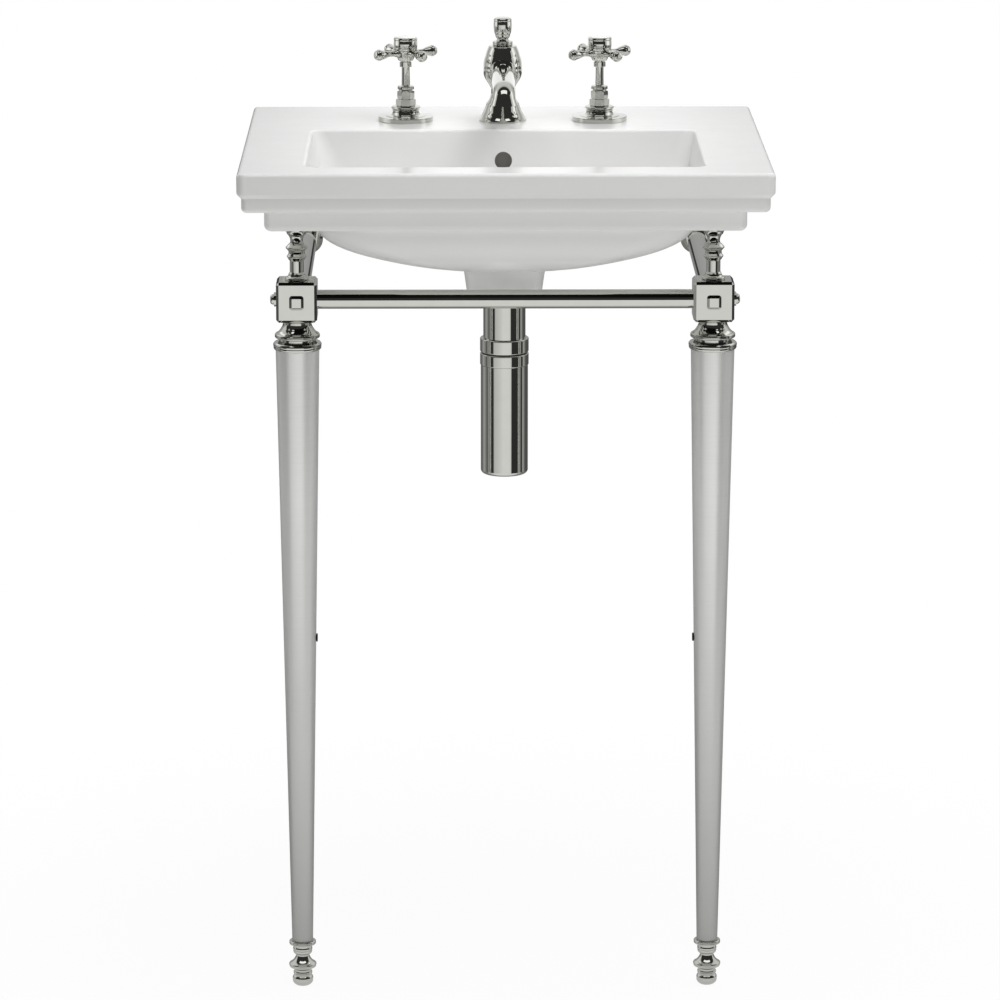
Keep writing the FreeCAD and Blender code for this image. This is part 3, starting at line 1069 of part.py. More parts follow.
def outlet_nut():
    grip = NOZZLE_LENGTH - OUTLET_NUT_GAP
    base = Vector(0, NOZZLE_END_Y - grip, OUTLET_Z)
    nut = rod(OUTLET_NUT_RADIUS, grip + OUTLET_NUT_END, base, Y_AXIS)
    return nut.cut([
        rod(NOZZLE_RADIUS + FIT_CLEARANCE, grip, base, Y_AXIS),
        rod(PIPE_RADIUS + FIT_CLEARANCE, grip + OUTLET_NUT_END, base, Y_AXIS),
    ])


def outlet_rose():
    centre = Vector(0, WALL_Y - ROSE_THICKNESS, OUTLET_Z)
    disc = moved(turned(ROSE_OUTLINE_SHARES, ROSE_RADIUS, ROSE_THICKNESS), centre, Rotation(Z_AXIS, Y_AXIS))
    return disc.cut(rod(PIPE_RADIUS + FIT_CLEARANCE, ROSE_THICKNESS, centre, Y_AXIS))


# Nodes
def assembly():
    """All pieces by name; alike fasteners are grouped."""
    pieces = {
        "basin": basin(),
        "front_rail": front_rail(),
        "rail_tie_rod": rail_tie_rod(),
        "spout_body": spout_body(),
        "spout_arm": spout_arm(),
        "spout_aerator": spout_aerator(),
        "spout_shank": spout_shank(),
        "rod_guide_tube": rod_guide_tube(),
        "popup_knob": popup_knob(),
        "lift_rod": lift_rod(),
        "clevis_strap": clevis_strap(),
        "strap_screw": strap_screw(),
        "pivot_rod": pivot_rod(),
        "pivot_nut": pivot_nut(),
        "popup_plug": popup_plug(),
        "plug_seal": plug_seal(),
        "waste_flange": waste_flange(),
        "waste_washer": waste_washer(),
        "waste_backnut": waste_backnut(),
        "waste_barrel": waste_barrel(),
        "trap_inlet_nut": trap_inlet_nut(),
        "trap_seal": trap_seal(),
        "trap_top_nut": trap_top_nut(),
        "trap_dip_tube": trap_dip_tube(),
        "trap_bottle": trap_bottle(),
        "trap_outlet_pipe": trap_outlet_pipe(),
        "outlet_nut": outlet_nut(),
        "outlet_rose": outlet_rose(),
    }
    groups = {name: [] for name in GROUP_NAMES}
    for side, sign in SIDES:
        leg_x = sign * LEG_X
        tap_x = sign * TAP_SPACING / 2
        inward = X_AXIS * -sign
        pieces["leg_" + side] = leg(leg_x, inward)
        pieces["foot_" + side] = foot(leg_x)
        pieces["leg_collar_" + side] = leg_collar(leg_x)
        pieces["corner_block_" + side] = corner_block(leg_x)
        pieces["side_rail_" + side] = side_rail(leg_x)
        pieces["basin_post_" + side] = basin_post(leg_x)
        pieces["tap_flange_" + side] = tap_flange(tap_x)
        pieces["tap_bonnet_" + side] = tap_bonnet(tap_x)
        pieces["tap_body_" + side] = tap_body(tap_x, inward)
        pieces["tap_spindle_" + side] = tap_spindle(tap_x)
        pieces["tap_handle_" + side] = tap_handle(tap_x)
        pieces["tap_index_" + side] = tap_index(tap_x)
        groups["block_studs"].append(block_stud(leg_x))
        groups["dome_nuts"].append(dome_nut(leg_x, sign))
        groups["leg_set_screws"].append(leg_set_screw(leg_x, inward))
        groups["post_pads"].append(post_pad(leg_x))
        groups["wall_flanges"].append(wall_flange(leg_x))
        groups["tap_cartridges"].append(tap_cartridge(tap_x))
    tap_places = (-TAP_SPACING / 2, 0, TAP_SPACING / 2)
    groups["tap_washers"] = [deck_washer(x) for x in tap_places]
    groups["tap_backnuts"] = [deck_backnut(x) for x in tap_places]
    for name, solids in groups.items():
        pieces[name] = Part.makeCompound(solids)
    return pieces


os.makedirs("parts", exist_ok=True)
for name, shape in assembly().items():
    shape.exportStep("parts/" + name + ".step")
    print(name, "solids", len(shape.Solids), "volume", round(shape.Volume), "valid", shape.isValid())
print("lever swing", round(2 * LEVER_SWING, 3), "degrees, plug lift", round(PLUG_LIFT, 3))
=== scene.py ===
# %% [markdown]
# # A ceramic basin on a nickel stand
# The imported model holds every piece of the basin, its taps, its waste and its stand in one frame.
# This lesson dresses those pieces: it gives each one a finish like that of the real one, sets up a
# small studio with a pale floor, and places the camera. Nothing is moved and no shape is changed.

# %% Load the frame
import json
import math

import bpy
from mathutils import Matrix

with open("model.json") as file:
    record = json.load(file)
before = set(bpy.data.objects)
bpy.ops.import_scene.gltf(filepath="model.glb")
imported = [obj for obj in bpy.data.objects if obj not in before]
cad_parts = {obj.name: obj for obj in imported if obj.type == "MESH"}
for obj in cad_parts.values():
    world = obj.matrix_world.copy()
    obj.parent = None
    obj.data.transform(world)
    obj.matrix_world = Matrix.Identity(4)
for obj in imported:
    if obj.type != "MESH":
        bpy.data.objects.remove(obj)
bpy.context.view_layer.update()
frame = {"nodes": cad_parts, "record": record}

pieces = frame["nodes"]

# %% [markdown]
# ## Small helpers
# Colours are written as sRGB hex values, as a paint chart gives them, and Blender's shaders work
# with linear light, so one function converts them. One function adds a shader node with its
# settings and links. Pattern sizes are written in millimetres, and a texture's scale is cells per
# metre, so one function turns the one into the other. The last one starts a finish: it makes the
# material, sets what is the same all over on the surface shader, and gives the place on the piece
# that the patterns are drawn by.

# %% Colours, nodes and pattern sizes
# A Mix node has sockets for every data type. These are the ones for the share and the colours.
SHARE, FIRST, SECOND, MIXED = 0, 6, 7, 2


def linear(hex_colour):
    """sRGB hex to linear red, green, blue and alpha."""
    channels = [int(hex_colour[start:start + 2], 16) / 255 for start in (1, 3, 5)]
    return [c / 12.92 if c <= 0.04045 else ((c + 0.055) / 1.055) ** 2.4 for c in channels] + [1.0]


def node(tree, kind, settings=(), inputs=()):
    """Add a node: settings are its properties, inputs are values or other nodes' outputs."""
    made = tree.nodes.new(kind)
    for name, value in dict(settings).items():
        setattr(made, name, value)
    for name, value in dict(inputs).items():
        if isinstance(value, bpy.types.NodeSocket):
            tree.links.new(value, made.inputs[name])
        else:
            made.inputs[name].default_value = value
    return made


def per_metre(millimetres):
    """A texture's scale for cells of this size."""
    return 1000 / millimetres


print("white is", linear("#FFFFFF"), "and 25 mm cells are", per_metre(25), "per metre")


def start_finish(name, **constants):
    """A new material: its node tree, its surface shader and the place on the piece in metres."""
    material = bpy.data.materials.new(name)
    material.use_nodes = True
    tree = material.node_tree
    surface = tree.nodes["Principled BSDF"]
    for socket, value in constants.items():
        surface.inputs[socket].default_value = value
    place = node(tree, "ShaderNodeTexCoord").outputs["Object"]
    return material, tree, surface, place


# %% [markdown]
# ## Vitreous china, slip cast and glazed
# A basin like this is cast in plaster moulds from liquid clay, coated with a white glaze and fired
# until the clay is dense and the glaze has fused to it. What the eye gets is a white that is hardly
# ever quite even, a clear gloss like window glass (IOR about 1.5), and reflections that swim a
# little, because cast walls are never dead flat. A flat white would look like paper, so soft
# patterns are mixed in: a tint that drifts over 90 mm, a gloss that varies over 35 mm, and a
# waviness of 40 mm with a fine orange peel of 2 mm.

# %% Glazed china
china, tree, surface, place = start_finish("vitreous_china_glazed", IOR=1.5)
drift = node(tree, "ShaderNodeTexNoise", inputs={
    "Vector": place, "Scale": per_metre(90), "Detail": 3.0})
glaze = node(tree, "ShaderNodeMix", {"data_type": "RGBA"}, {
    SHARE: drift.outputs["Fac"], FIRST: linear("#F0F0EF"), SECOND: linear("#EAEAE9")})
cloud = node(tree, "ShaderNodeTexNoise", inputs={
    "Vector": place, "Scale": per_metre(35), "Detail": 2.0})
gloss = node(tree, "ShaderNodeMapRange", inputs={
    "Value": cloud.outputs["Fac"], "To Min": 0.15, "To Max": 0.23})
tree.links.new(gloss.outputs["Result"], surface.inputs["Roughness"])
wave = node(tree, "ShaderNodeTexNoise", inputs={
    "Vector": place, "Scale": per_metre(40), "Detail": 1.0})
peel = node(tree, "ShaderNodeTexNoise", inputs={
    "Vector": place, "Scale": per_metre(2), "Detail": 1.0})
swim = node(tree, "ShaderNodeBump", inputs={
    "Strength": 0.5, "Distance": 0.0003, "Height": wave.outputs["Fac"]})
skin = node(tree, "ShaderNodeBump", inputs={
    "Strength": 0.25, "Distance": 0.00001, "Height": peel.outputs["Fac"],
    "Normal": swim.outputs["Normal"]})
tree.links.new(skin.outputs["Normal"], surface.inputs["Normal"])
print(china.name, "has", len(tree.nodes), "nodes")

# %% [markdown]
# ## Painted shade in the overflow channel
# The overflow hole in the bowl's back wall shows as a grey spot in the picture, so the channel
# behind it is painted grey, as painted shade in that recess. The basin is one casting with one
# material, so the painted shade and the glaze are told apart by place: the shade fills a box with
# soft edges, and the front of the box follows the bowl's back wall, which leans.

# %% Painted shade in the overflow channel
WALL_LEAN = 11.5 / 56    # the wall goes back 11.5 mm over 56 mm of height
WALL_TOP_Y, RIM_HEIGHT = 0.060, 0.864    # where the wall meets the rim, in metres
wall_depth = WALL_TOP_Y - RIM_HEIGHT * WALL_LEAN
at = node(tree, "ShaderNodeSeparateXYZ", inputs={"Vector": place})
aside = node(tree, "ShaderNodeMath", {"operation": "ABSOLUTE"}, {0: at.outputs["X"]})
depth = node(tree, "ShaderNodeMath", {"operation": "MULTIPLY_ADD"}, {
    0: at.outputs["Z"], 1: -WALL_LEAN, 2: at.outputs["Y"]})
channel_edges = (
    # measure, where the edge starts and ends in metres, share of painted shade at its start and end
    (aside.outputs[0], 0.014, 0.016, 1.0, 0.0),
    (depth.outputs[0], wall_depth + 0.001, wall_depth + 0.003, 0.0, 1.0),
    (depth.outputs[0], wall_depth + 0.026, wall_depth + 0.028, 1.0, 0.0),
    (at.outputs["Z"], 0.803, 0.806, 0.0, 1.0),
    (at.outputs["Z"], 0.849, 0.853, 1.0, 0.0),
)
channel_shade = 1.0
for measure, begin, stop, first, last in channel_edges:
    inside = node(tree, "ShaderNodeMapRange", inputs={
        "Value": measure, "From Min": begin, "From Max": stop, "To Min": first, "To Max": last})
    channel_shade = node(tree, "ShaderNodeMath", {"operation": "MULTIPLY"}, {
        0: channel_shade, 1: inside.outputs["Result"]}).outputs[0]
# Painted shade: a dark grey fills the box in the channel in place of the glaze's white.
colour = node(tree, "ShaderNodeMix", {"data_type": "RGBA"}, {
    SHARE: channel_shade, FIRST: glaze.outputs[MIXED], SECOND: linear("#8A8782")})
tree.links.new(colour.outputs[MIXED], surface.inputs["Base Color"])
print(china.name, "has", len(tree.nodes), "nodes with", len(channel_edges), "edges of clay")

# %% [markdown]
# ## Porcelain, pressed and glazed
# The round buttons on the tap handles are of finer clay. They are whiter and smoother than the
# basin, and small, so their pattern is finer: a tint over 6 mm and a slight dishing of the glaze.

# %% Glazed porcelain
porcelain, tree, surface, place = start_finish("porcelain_glazed", IOR=1.5)
drift = node(tree, "ShaderNodeTexNoise", inputs={
    "Vector": place, "Scale": per_metre(6), "Detail": 2.0})
tint = node(tree, "ShaderNodeMix", {"data_type": "RGBA"}, {
    SHARE: drift.outputs["Fac"], FIRST: linear("#F4F3F0"), SECOND: linear("#ECEBE6")})
tree.links.new(tint.outputs[MIXED], surface.inputs["Base Color"])
gloss = node(tree, "ShaderNodeMapRange", inputs={
    "Value": drift.outputs["Fac"], "To Min": 0.05, "To Max": 0.1})
tree.links.new(gloss.outputs["Result"], surface.inputs["Roughness"])
dishing = node(tree, "ShaderNodeBump", inputs={
    "Strength": 0.3, "Distance": 0.0001, "Height": drift.outputs["Fac"]})
tree.links.new(dishing.outputs["Normal"], surface.inputs["Normal"])
print(porcelain.name, "has", len(tree.nodes), "nodes")

# %% [markdown]
# ## Nickel plate on brass, polished
# Taps, trap, rails and blocks are polished brass plated with nickel, which is a slightly warmer
# mirror than chrome. Buffing leaves a faint waviness over some 14 mm that bends reflections, and a
# haze of hairlines that shows only as a small change of gloss.

# %% Polished nickel
nickel, tree, surface, place = start_finish("nickel_plate_polished", Metallic=1.0)
drift = node(tree, "ShaderNodeTexNoise", inputs={
    "Vector": place, "Scale": per_metre(14), "Detail": 2.0})
tint = node(tree, "ShaderNodeMix", {"data_type": "RGBA"}, {
    SHARE: drift.outputs["Fac"], FIRST: linear("#CBCCC6"), SECOND: linear("#C4C5BE")})
tree.links.new(tint.outputs[MIXED], surface.inputs["Base Color"])
haze = node(tree, "ShaderNodeTexNoise", inputs={
    "Vector": place, "Scale": per_metre(5), "Detail": 4.0})
gloss = node(tree, "ShaderNodeMapRange", inputs={
    "Value": haze.outputs["Fac"], "To Min": 0.02, "To Max": 0.06})
tree.links.new(gloss.outputs["Result"], surface.inputs["Roughness"])
buffing = node(tree, "ShaderNodeBump", inputs={
    "Strength": 0.2, "Distance": 0.0001, "Height": drift.outputs["Fac"]})
tree.links.new(buffing.outputs["Normal"], surface.inputs["Normal"])
print(nickel.name, "has", len(tree.nodes), "nodes")

# %% [markdown]
# ## Nickel plate, satin brushed
# The two long legs look softer than the rest, as tubes do that are brushed round before plating:
# they blur what they mirror into a broad grey sheen. Brush lines are about 0.1 mm apart and are
# drawn 0.6 mm apart here, because finer ones would not show. Stretched noise gives rings that come
# and go, which a plain wave would not. Metallic is only 0.6, because a whole metal would mirror
# more of the room than the picture shows. Towards the floor the base colour is painted a tone
# darker, as painted shade, by a ramp over height.

# %% Satin nickel
satin, tree, surface, place = start_finish("nickel_plate_satin_brushed", Metallic=0.6)
ROUND_THE_TUBE, ALONG_THE_TUBE = 30, per_metre(0.6)    # cells per metre
rings = node(tree, "ShaderNodeMapping", inputs={
    "Vector": place, "Scale": (ROUND_THE_TUBE, ROUND_THE_TUBE, ALONG_THE_TUBE)})
lines = node(tree, "ShaderNodeTexNoise", inputs={
    "Vector": rings.outputs["Vector"], "Scale": 1.0, "Detail": 2.0})
tint = node(tree, "ShaderNodeMix", {"data_type": "RGBA"}, {
    SHARE: lines.outputs["Fac"], FIRST: linear("#F7F8F5"), SECOND: linear("#EEEFEC")})
at = node(tree, "ShaderNodeSeparateXYZ", inputs={"Vector": place})
# Painted shade: towards the floor the ramp by height turns the legs' colour to a darker grey.
height = node(tree, "ShaderNodeMapRange", inputs={
    "Value": at.outputs["Z"], "From Min": 0.02, "From Max": 0.52})
colour = node(tree, "ShaderNodeMix", {"data_type": "RGBA"}, {
    SHARE: height.outputs["Result"], FIRST: linear("#A2A3A0"), SECOND: tint.outputs[MIXED]})
tree.links.new(colour.outputs[MIXED], surface.inputs["Base Color"])
cloud = node(tree, "ShaderNodeTexNoise", inputs={
    "Vector": place, "Scale": per_metre(60), "Detail": 2.0})
gloss = node(tree, "ShaderNodeMapRange", inputs={
    "Value": cloud.outputs["Fac"], "To Min": 0.34, "To Max": 0.42})
tree.links.new(gloss.outputs["Result"], surface.inputs["Roughness"])
brushing = node(tree, "ShaderNodeBump", inputs={
    "Strength": 0.12, "Distance": 0.00005, "Height": lines.outputs["Fac"]})
tree.links.new(brushing.outputs["Normal"], surface.inputs["Normal"])
print(satin.name, "has", len(tree.nodes), "nodes")

# %% [markdown]
# ## Brass, turned and threaded
# Under the deck and inside the taps the brass is left as the lathe made it: yellow, with a gloss
# that changes from place to place. Most of these pieces carry a pipe thread of 1.8 mm pitch, which
# is drawn as ridges that run round.

# %% Turned brass
brass, tree, surface, place = start_finish("brass_turned", Metallic=1.0)
drift = node(tree, "ShaderNodeTexNoise", inputs={
    "Vector": place, "Scale": per_metre(18), "Detail": 3.0})
tint = node(tree, "ShaderNodeMix", {"data_type": "RGBA"}, {
    SHARE: drift.outputs["Fac"], FIRST: linear("#C9A869"), SECOND: linear("#B08F52")})
tree.links.new(tint.outputs[MIXED], surface.inputs["Base Color"])
gloss = node(tree, "ShaderNodeMapRange", inputs={
    "Value": drift.outputs["Fac"], "To Min": 0.18, "To Max": 0.36})
tree.links.new(gloss.outputs["Result"], surface.inputs["Roughness"])
WAVE_LENGTH = math.tau / 20    # one band of a wave texture at a scale of 1, in metres
ridges = node(tree, "ShaderNodeTexWave", {"wave_type": "BANDS", "bands_direction": "Z"}, {
    "Vector": place, "Scale": per_metre(1.8) * WAVE_LENGTH, "Distortion": 0.0})
thread = node(tree, "ShaderNodeBump", inputs={
    "Strength": 0.7, "Distance": 0.0005, "Height": ridges.outputs["Fac"]})
tree.links.new(thread.outputs["Normal"], surface.inputs["Normal"])
print(brass.name, "has", len(tree.nodes), "nodes")

# %% [markdown]
# ## Steel, zinc plated
# The lift rod, its strap, the lever and the tie rod are plain steel with a thin bluish zinc plate.
# It is a dull mirror with pale clouds about 4 mm wide.

# %% Zinc plated steel
zinc, tree, surface, place = start_finish("steel_zinc_plated", Metallic=1.0)
cloud = node(tree, "ShaderNodeTexNoise", inputs={
    "Vector": place, "Scale": per_metre(4), "Detail": 4.0})
tint = node(tree, "ShaderNodeMix", {"data_type": "RGBA"}, {
    SHARE: cloud.outputs["Fac"], FIRST: linear("#C3C8CC"), SECOND: linear("#A9AFB4")})
tree.links.new(tint.outputs[MIXED], surface.inputs["Base Color"])
gloss = node(tree, "ShaderNodeMapRange", inputs={
    "Value": cloud.outputs["Fac"], "To Min": 0.24, "To Max": 0.42})
tree.links.new(gloss.outputs["Result"], surface.inputs["Roughness"])
grain = node(tree, "ShaderNodeBump", inputs={
    "Strength": 0.2, "Distance": 0.00005, "Height": cloud.outputs["Fac"]})
tree.links.new(grain.outputs["Normal"], surface.inputs["Normal"])
print(zinc.name, "has", len(tree.nodes), "nodes")

# %% [markdown]
# ## Steel, black oxide
# The small set screws in the legs are drawn as blackened steel. A hot bath gives such screws a
# dark, slightly oily skin.

# %% Blackened steel
blackened, tree, surface, place = start_finish("steel_black_oxide", Metallic=1.0)
cloud = node(tree, "ShaderNodeTexNoise", inputs={
    "Vector": place, "Scale": per_metre(1.5), "Detail": 3.0})
tint = node(tree, "ShaderNodeMix", {"data_type": "RGBA"}, {
    SHARE: cloud.outputs["Fac"], FIRST: linear("#3A3A3B"), SECOND: linear("#262627")})
tree.links.new(tint.outputs[MIXED], surface.inputs["Base Color"])
gloss = node(tree, "ShaderNodeMapRange", inputs={
    "Value": cloud.outputs["Fac"], "To Min": 0.3, "To Max": 0.5})
tree.links.new(gloss.outputs["Result"], surface.inputs["Roughness"])
grain = node(tree, "ShaderNodeBump", inputs={
    "Strength": 0.3, "Distance": 0.00005, "Height": cloud.outputs["Fac"]})
tree.links.new(grain.outputs["Normal"], surface.inputs["Normal"])
print(blackened.name, "has", len(tree.nodes), "nodes")

# %% [markdown]
# ## EPDM rubber, moulded
# Washers, seals and pads are black rubber: matt, with a fine moulded grain and a trace of grey
# bloom.

# %% Rubber
rubber, tree, surface, place = start_finish("epdm_rubber_moulded", IOR=1.52)
bloom = node(tree, "ShaderNodeTexNoise", inputs={
    "Vector": place, "Scale": per_metre(5), "Detail": 4.0})
tint = node(tree, "ShaderNodeMix", {"data_type": "RGBA"}, {
    SHARE: bloom.outputs["Fac"], FIRST: linear("#222222"), SECOND: linear("#303030")})
tree.links.new(tint.outputs[MIXED], surface.inputs["Base Color"])
gloss = node(tree, "ShaderNodeMapRange", inputs={
    "Value": bloom.outputs["Fac"], "To Min": 0.55, "To Max": 0.75})
tree.links.new(gloss.outputs["Result"], surface.inputs["Roughness"])
pores = node(tree, "ShaderNodeTexNoise", inputs={
    "Vector": place, "Scale": per_metre(0.6), "Detail": 2.0})
grain = node(tree, "ShaderNodeBump", inputs={
    "Strength": 0.3, "Distance": 0.00005, "Height": pores.outputs["Fac"]})
tree.links.new(grain.outputs["Normal"], surface.inputs["Normal"])
print(rubber.name, "has", len(tree.nodes), "nodes")

# %% [markdown]
# ## Acetal, moulded
# The aerator in the spout's mouth is a grey plastic insert with a honeycomb of cells about 2 mm
# wide that the water runs through. The cells are painted dark grey as painted shade in their
# openings, and the walls between them keep the lighter grey.

# %% Moulded acetal
acetal, tree, surface, place = start_finish("acetal_moulded", IOR=1.48)
cells = node(tree, "ShaderNodeTexVoronoi", {"feature": "DISTANCE_TO_EDGE"}, {
    "Vector": place, "Scale": per_metre(2.2), "Randomness": 0.15})
walls = node(tree, "ShaderNodeMapRange", inputs={
    "Value": cells.outputs["Distance"], "From Max": 0.2})
# Painted shade: the cells are dark grey in their openings and lighter grey at the walls.
tint = node(tree, "ShaderNodeMix", {"data_type": "RGBA"}, {
    SHARE: walls.outputs["Result"], FIRST: linear("#8A8C8D"), SECOND: linear("#3A3B3C")})
tree.links.new(tint.outputs[MIXED], surface.inputs["Base Color"])
gloss = node(tree, "ShaderNodeMapRange", inputs={
    "Value": walls.outputs["Result"], "To Min": 0.35, "To Max": 0.6})
tree.links.new(gloss.outputs["Result"], surface.inputs["Roughness"])
comb = node(tree, "ShaderNodeBump", {"invert": True}, {
    "Strength": 0.6, "Distance": 0.0005, "Height": walls.outputs["Result"]})
tree.links.new(comb.outputs["Normal"], surface.inputs["Normal"])
print(acetal.name, "has", len(tree.nodes), "nodes")

# %% [markdown]
# ## Dress the pieces
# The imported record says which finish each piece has. The pieces come with smooth normals from
# their exact surfaces, so each one only needs its material swapped.

# %% Put the finishes on
finish_of = {
    "vitreous_china": china, "porcelain": porcelain, "polished_nickel": nickel,
    "satin_nickel": satin, "brass": brass, "zinc_steel": zinc, "blackened_steel": blackened,
    "rubber": rubber, "grey_plastic": acetal,
}
for row in frame["record"]["subparts"]:
    pieces[row["node"]].material_slots[0].material = finish_of[row["material_slot"]]

# %% [markdown]
# ## The studio that the metal mirrors
# Polished metal has no look of its own: it shows the room, and a studio gives bright metal its dark
# bands with black panels. Walls could be built as planes, but a world that glossy rays read by
# direction is simpler and has no edges. So the first step turns a ray's direction into two shares:
# how far round the room it points, from behind past the left, the front and the right, and how far
# over the top, from the front to the back.

# %% Directions in the world
world = bpy.data.worlds.new("white_studio")
bpy.context.scene.world = world
world.use_nodes = True
tree = world.node_tree
tree.nodes.clear()
direction = node(tree, "ShaderNodeTexCoord").outputs["Generated"]
heading = node(tree, "ShaderNodeSeparateXYZ", inputs={"Vector": direction})
front = node(tree, "ShaderNodeMath", {"operation": "MULTIPLY"}, {0: heading.outputs["Y"], 1: -1.0})
turn = node(tree, "ShaderNodeMath", {"operation": "ARCTAN2"}, {
    0: heading.outputs["X"], 1: front.outputs[0]})
turn_share = node(tree, "ShaderNodeMath", {"operation": "MULTIPLY_ADD"}, {
    0: turn.outputs[0], 1: 1 / math.tau, 2: 0.5})
rise = node(tree, "ShaderNodeMath", {"operation": "ARCTAN2"}, {
    0: heading.outputs["Z"], 1: front.outputs[0]})
rise_share = node(tree, "ShaderNodeMath", {"operation": "DIVIDE"}, {0: rise.outputs[0], 1: math.pi})
print("world:", len(tree.nodes), "nodes read the direction")

# %% [markdown]
# ## The room
# Two ramps hold the room. The one that goes round is for what lies below eye level: it is bright in
# front, with a black panel on each side of that, stripes of grey further round and a dim back. The
# one that goes over the top is for what lies above: a black panel from eye level in front to just
# past the zenith, then a bright ceiling that gets greyer down the back.

# %% Room
ROUND_STOPS = (
    # degrees from the front, with the left below zero and the right above, and brightness
    (-178, 0.3), (-150, 0.15), (-135, 0.2), (-118, 0.5), (-100, 0.25), (-92, 0.08), (-87, 0.4),
    (-78, 0.3), (-70, 0.05), (-56, 0.04), (-51, 0.7), (-26, 0.85), (-7, 1.0), (22, 1.0), (32, 0.9),
    (35, 0.04), (68, 0.04), (74, 0.4), (83, 0.5), (86, 0.05), (96, 0.05), (99, 0.5), (106, 0.45),
    (120, 0.12), (150, 0.1), (178, 0.3),
)
OVER_STOPS = (
    # degrees over the top, with the front at 0 and the back at 180, and brightness
    (0, 0.04), (94, 0.04), (102, 0.75), (115, 0.85), (150, 0.85), (160, 0.5), (180, 0.35),
)
EYE_LEVEL_LOW, EYE_LEVEL_HIGH = -0.1, -0.07    # Z of the directions where the ramps meet


def grey(level):
    """A linear grey of this brightness."""
    return [level, level, level, 1.0]


round_ramp = node(tree, "ShaderNodeValToRGB", inputs={"Fac": turn_share.outputs[0]})
over_ramp = node(tree, "ShaderNodeValToRGB", inputs={"Fac": rise_share.outputs[0]})
round_shares = [((angle + 180) / 360, level) for angle, level in ROUND_STOPS]
over_shares = [(angle / 180, level) for angle, level in OVER_STOPS]
for ramp, shares in ((round_ramp.color_ramp, round_shares), (over_ramp.color_ramp, over_shares)):
    for element, (share, level) in zip(ramp.elements, (shares[0], shares[-1])):
        element.position, element.color = share, grey(level)
    for share, level in shares[1:-1]:
        ramp.elements.new(share).color = grey(level)
above = node(tree, "ShaderNodeMapRange", inputs={
    "Value": heading.outputs["Z"], "From Min": EYE_LEVEL_LOW, "From Max": EYE_LEVEL_HIGH})
room = node(tree, "ShaderNodeMix", {"data_type": "RGBA"}, {
    SHARE: above.outputs["Result"],
    FIRST: round_ramp.outputs["Color"], SECOND: over_ramp.outputs["Color"]})
print("room:", len(ROUND_STOPS), "stops round the horizon and", len(OVER_STOPS), "over the top")

# %% [markdown]
# ## A window in the black panel
# High in the black panel in front is one bright pane. It gives the spout and the balls of the
# handles their white windows.

# %% Window
WINDOW_LOW, WINDOW_HIGH = 56, 76    # degrees over the top, from the front
WINDOW_HALF_WIDTH = 0.45    # X of the directions at its sides
WINDOW_LEVEL = 1.5
aside = node(tree, "ShaderNodeMath", {"operation": "ABSOLUTE"}, {0: heading.outputs["X"]})
pane = node(tree, "ShaderNodeMath", {"operation": "LESS_THAN"}, {
    0: aside.outputs[0], 1: WINDOW_HALF_WIDTH})
for comparison, angle in (("GREATER_THAN", WINDOW_LOW), ("LESS_THAN", WINDOW_HIGH)):
    edge = node(tree, "ShaderNodeMath", {"operation": comparison}, {
        0: rise_share.outputs[0], 1: angle / 180})
    pane = node(tree, "ShaderNodeMath", {"operation": "MULTIPLY"}, {
        0: pane.outputs[0], 1: edge.outputs[0]})
room = node(tree, "ShaderNodeMix", {"data_type": "RGBA"}, {
    SHARE: pane.outputs[0], FIRST: room.outputs[MIXED], SECOND: grey(WINDOW_LEVEL)})
print("window from", WINDOW_LOW, "to", WINDOW_HIGH, "degrees at a level of", WINDOW_LEVEL)

# %% [markdown]
# ## What each ray sees
# Only mirrors see the room. Camera rays see plain white, and all other rays get an even, plain
# light, so the room's dark panels do not shade the china.

# %% Rays in the world
PLAIN_LIGHT = 0.35
ray = node(tree, "ShaderNodeLightPath")
mirrored = node(tree, "ShaderNodeMix", {"data_type": "RGBA"}, {
    SHARE: ray.outputs["Is Glossy Ray"], FIRST: grey(PLAIN_LIGHT), SECOND: room.outputs[MIXED]})
seen = node(tree, "ShaderNodeMath", {"operation": "MAXIMUM"}, {
    0: ray.outputs["Is Camera Ray"], 1: ray.outputs["Is Transmission Ray"]})
final = node(tree, "ShaderNodeMix", {"data_type": "RGBA"}, {
    SHARE: seen.outputs[0], FIRST: mirrored.outputs[MIXED], SECOND: linear("#FFFFFF")})
light = node(tree, "ShaderNodeBackground", inputs={"Color": final.outputs[MIXED], "Strength": 1.0})
node(tree, "ShaderNodeOutputWorld", inputs={"Surface": light.outputs["Background"]})
print("world:", len(tree.nodes), "nodes and a plain light of", PLAIN_LIGHT)

# %% [markdown]
# ## The floor
# The stand is on a pale floor that fades into the white of the room. It is a disc of 1.4 m radius,
# so that the legs mirror the room beyond it, and it lies half a millimetre under the feet.

# %% Floor
FLOOR_RADIUS = 1.4
FLOOR_HEIGHT = -0.0005
bpy.ops.mesh.primitive_circle_add(
    vertices=96, radius=FLOOR_RADIUS, fill_type="NGON", location=(0, 0, FLOOR_HEIGHT))
floor = bpy.context.object
floor.name = "floor"
print("floor of", 2 * FLOOR_RADIUS, "m across")

# %% [markdown]
# ## Matt white floor paint
# To the lens the floor is mostly white with a share of true shading, so the soft shadow of the
# stand stays on it and gets weaker towards the edge. Mirrors see it white in front of the stand and
# dim behind, which shades the undersides of the polished pieces. To the china it is a pale glow
# from below.

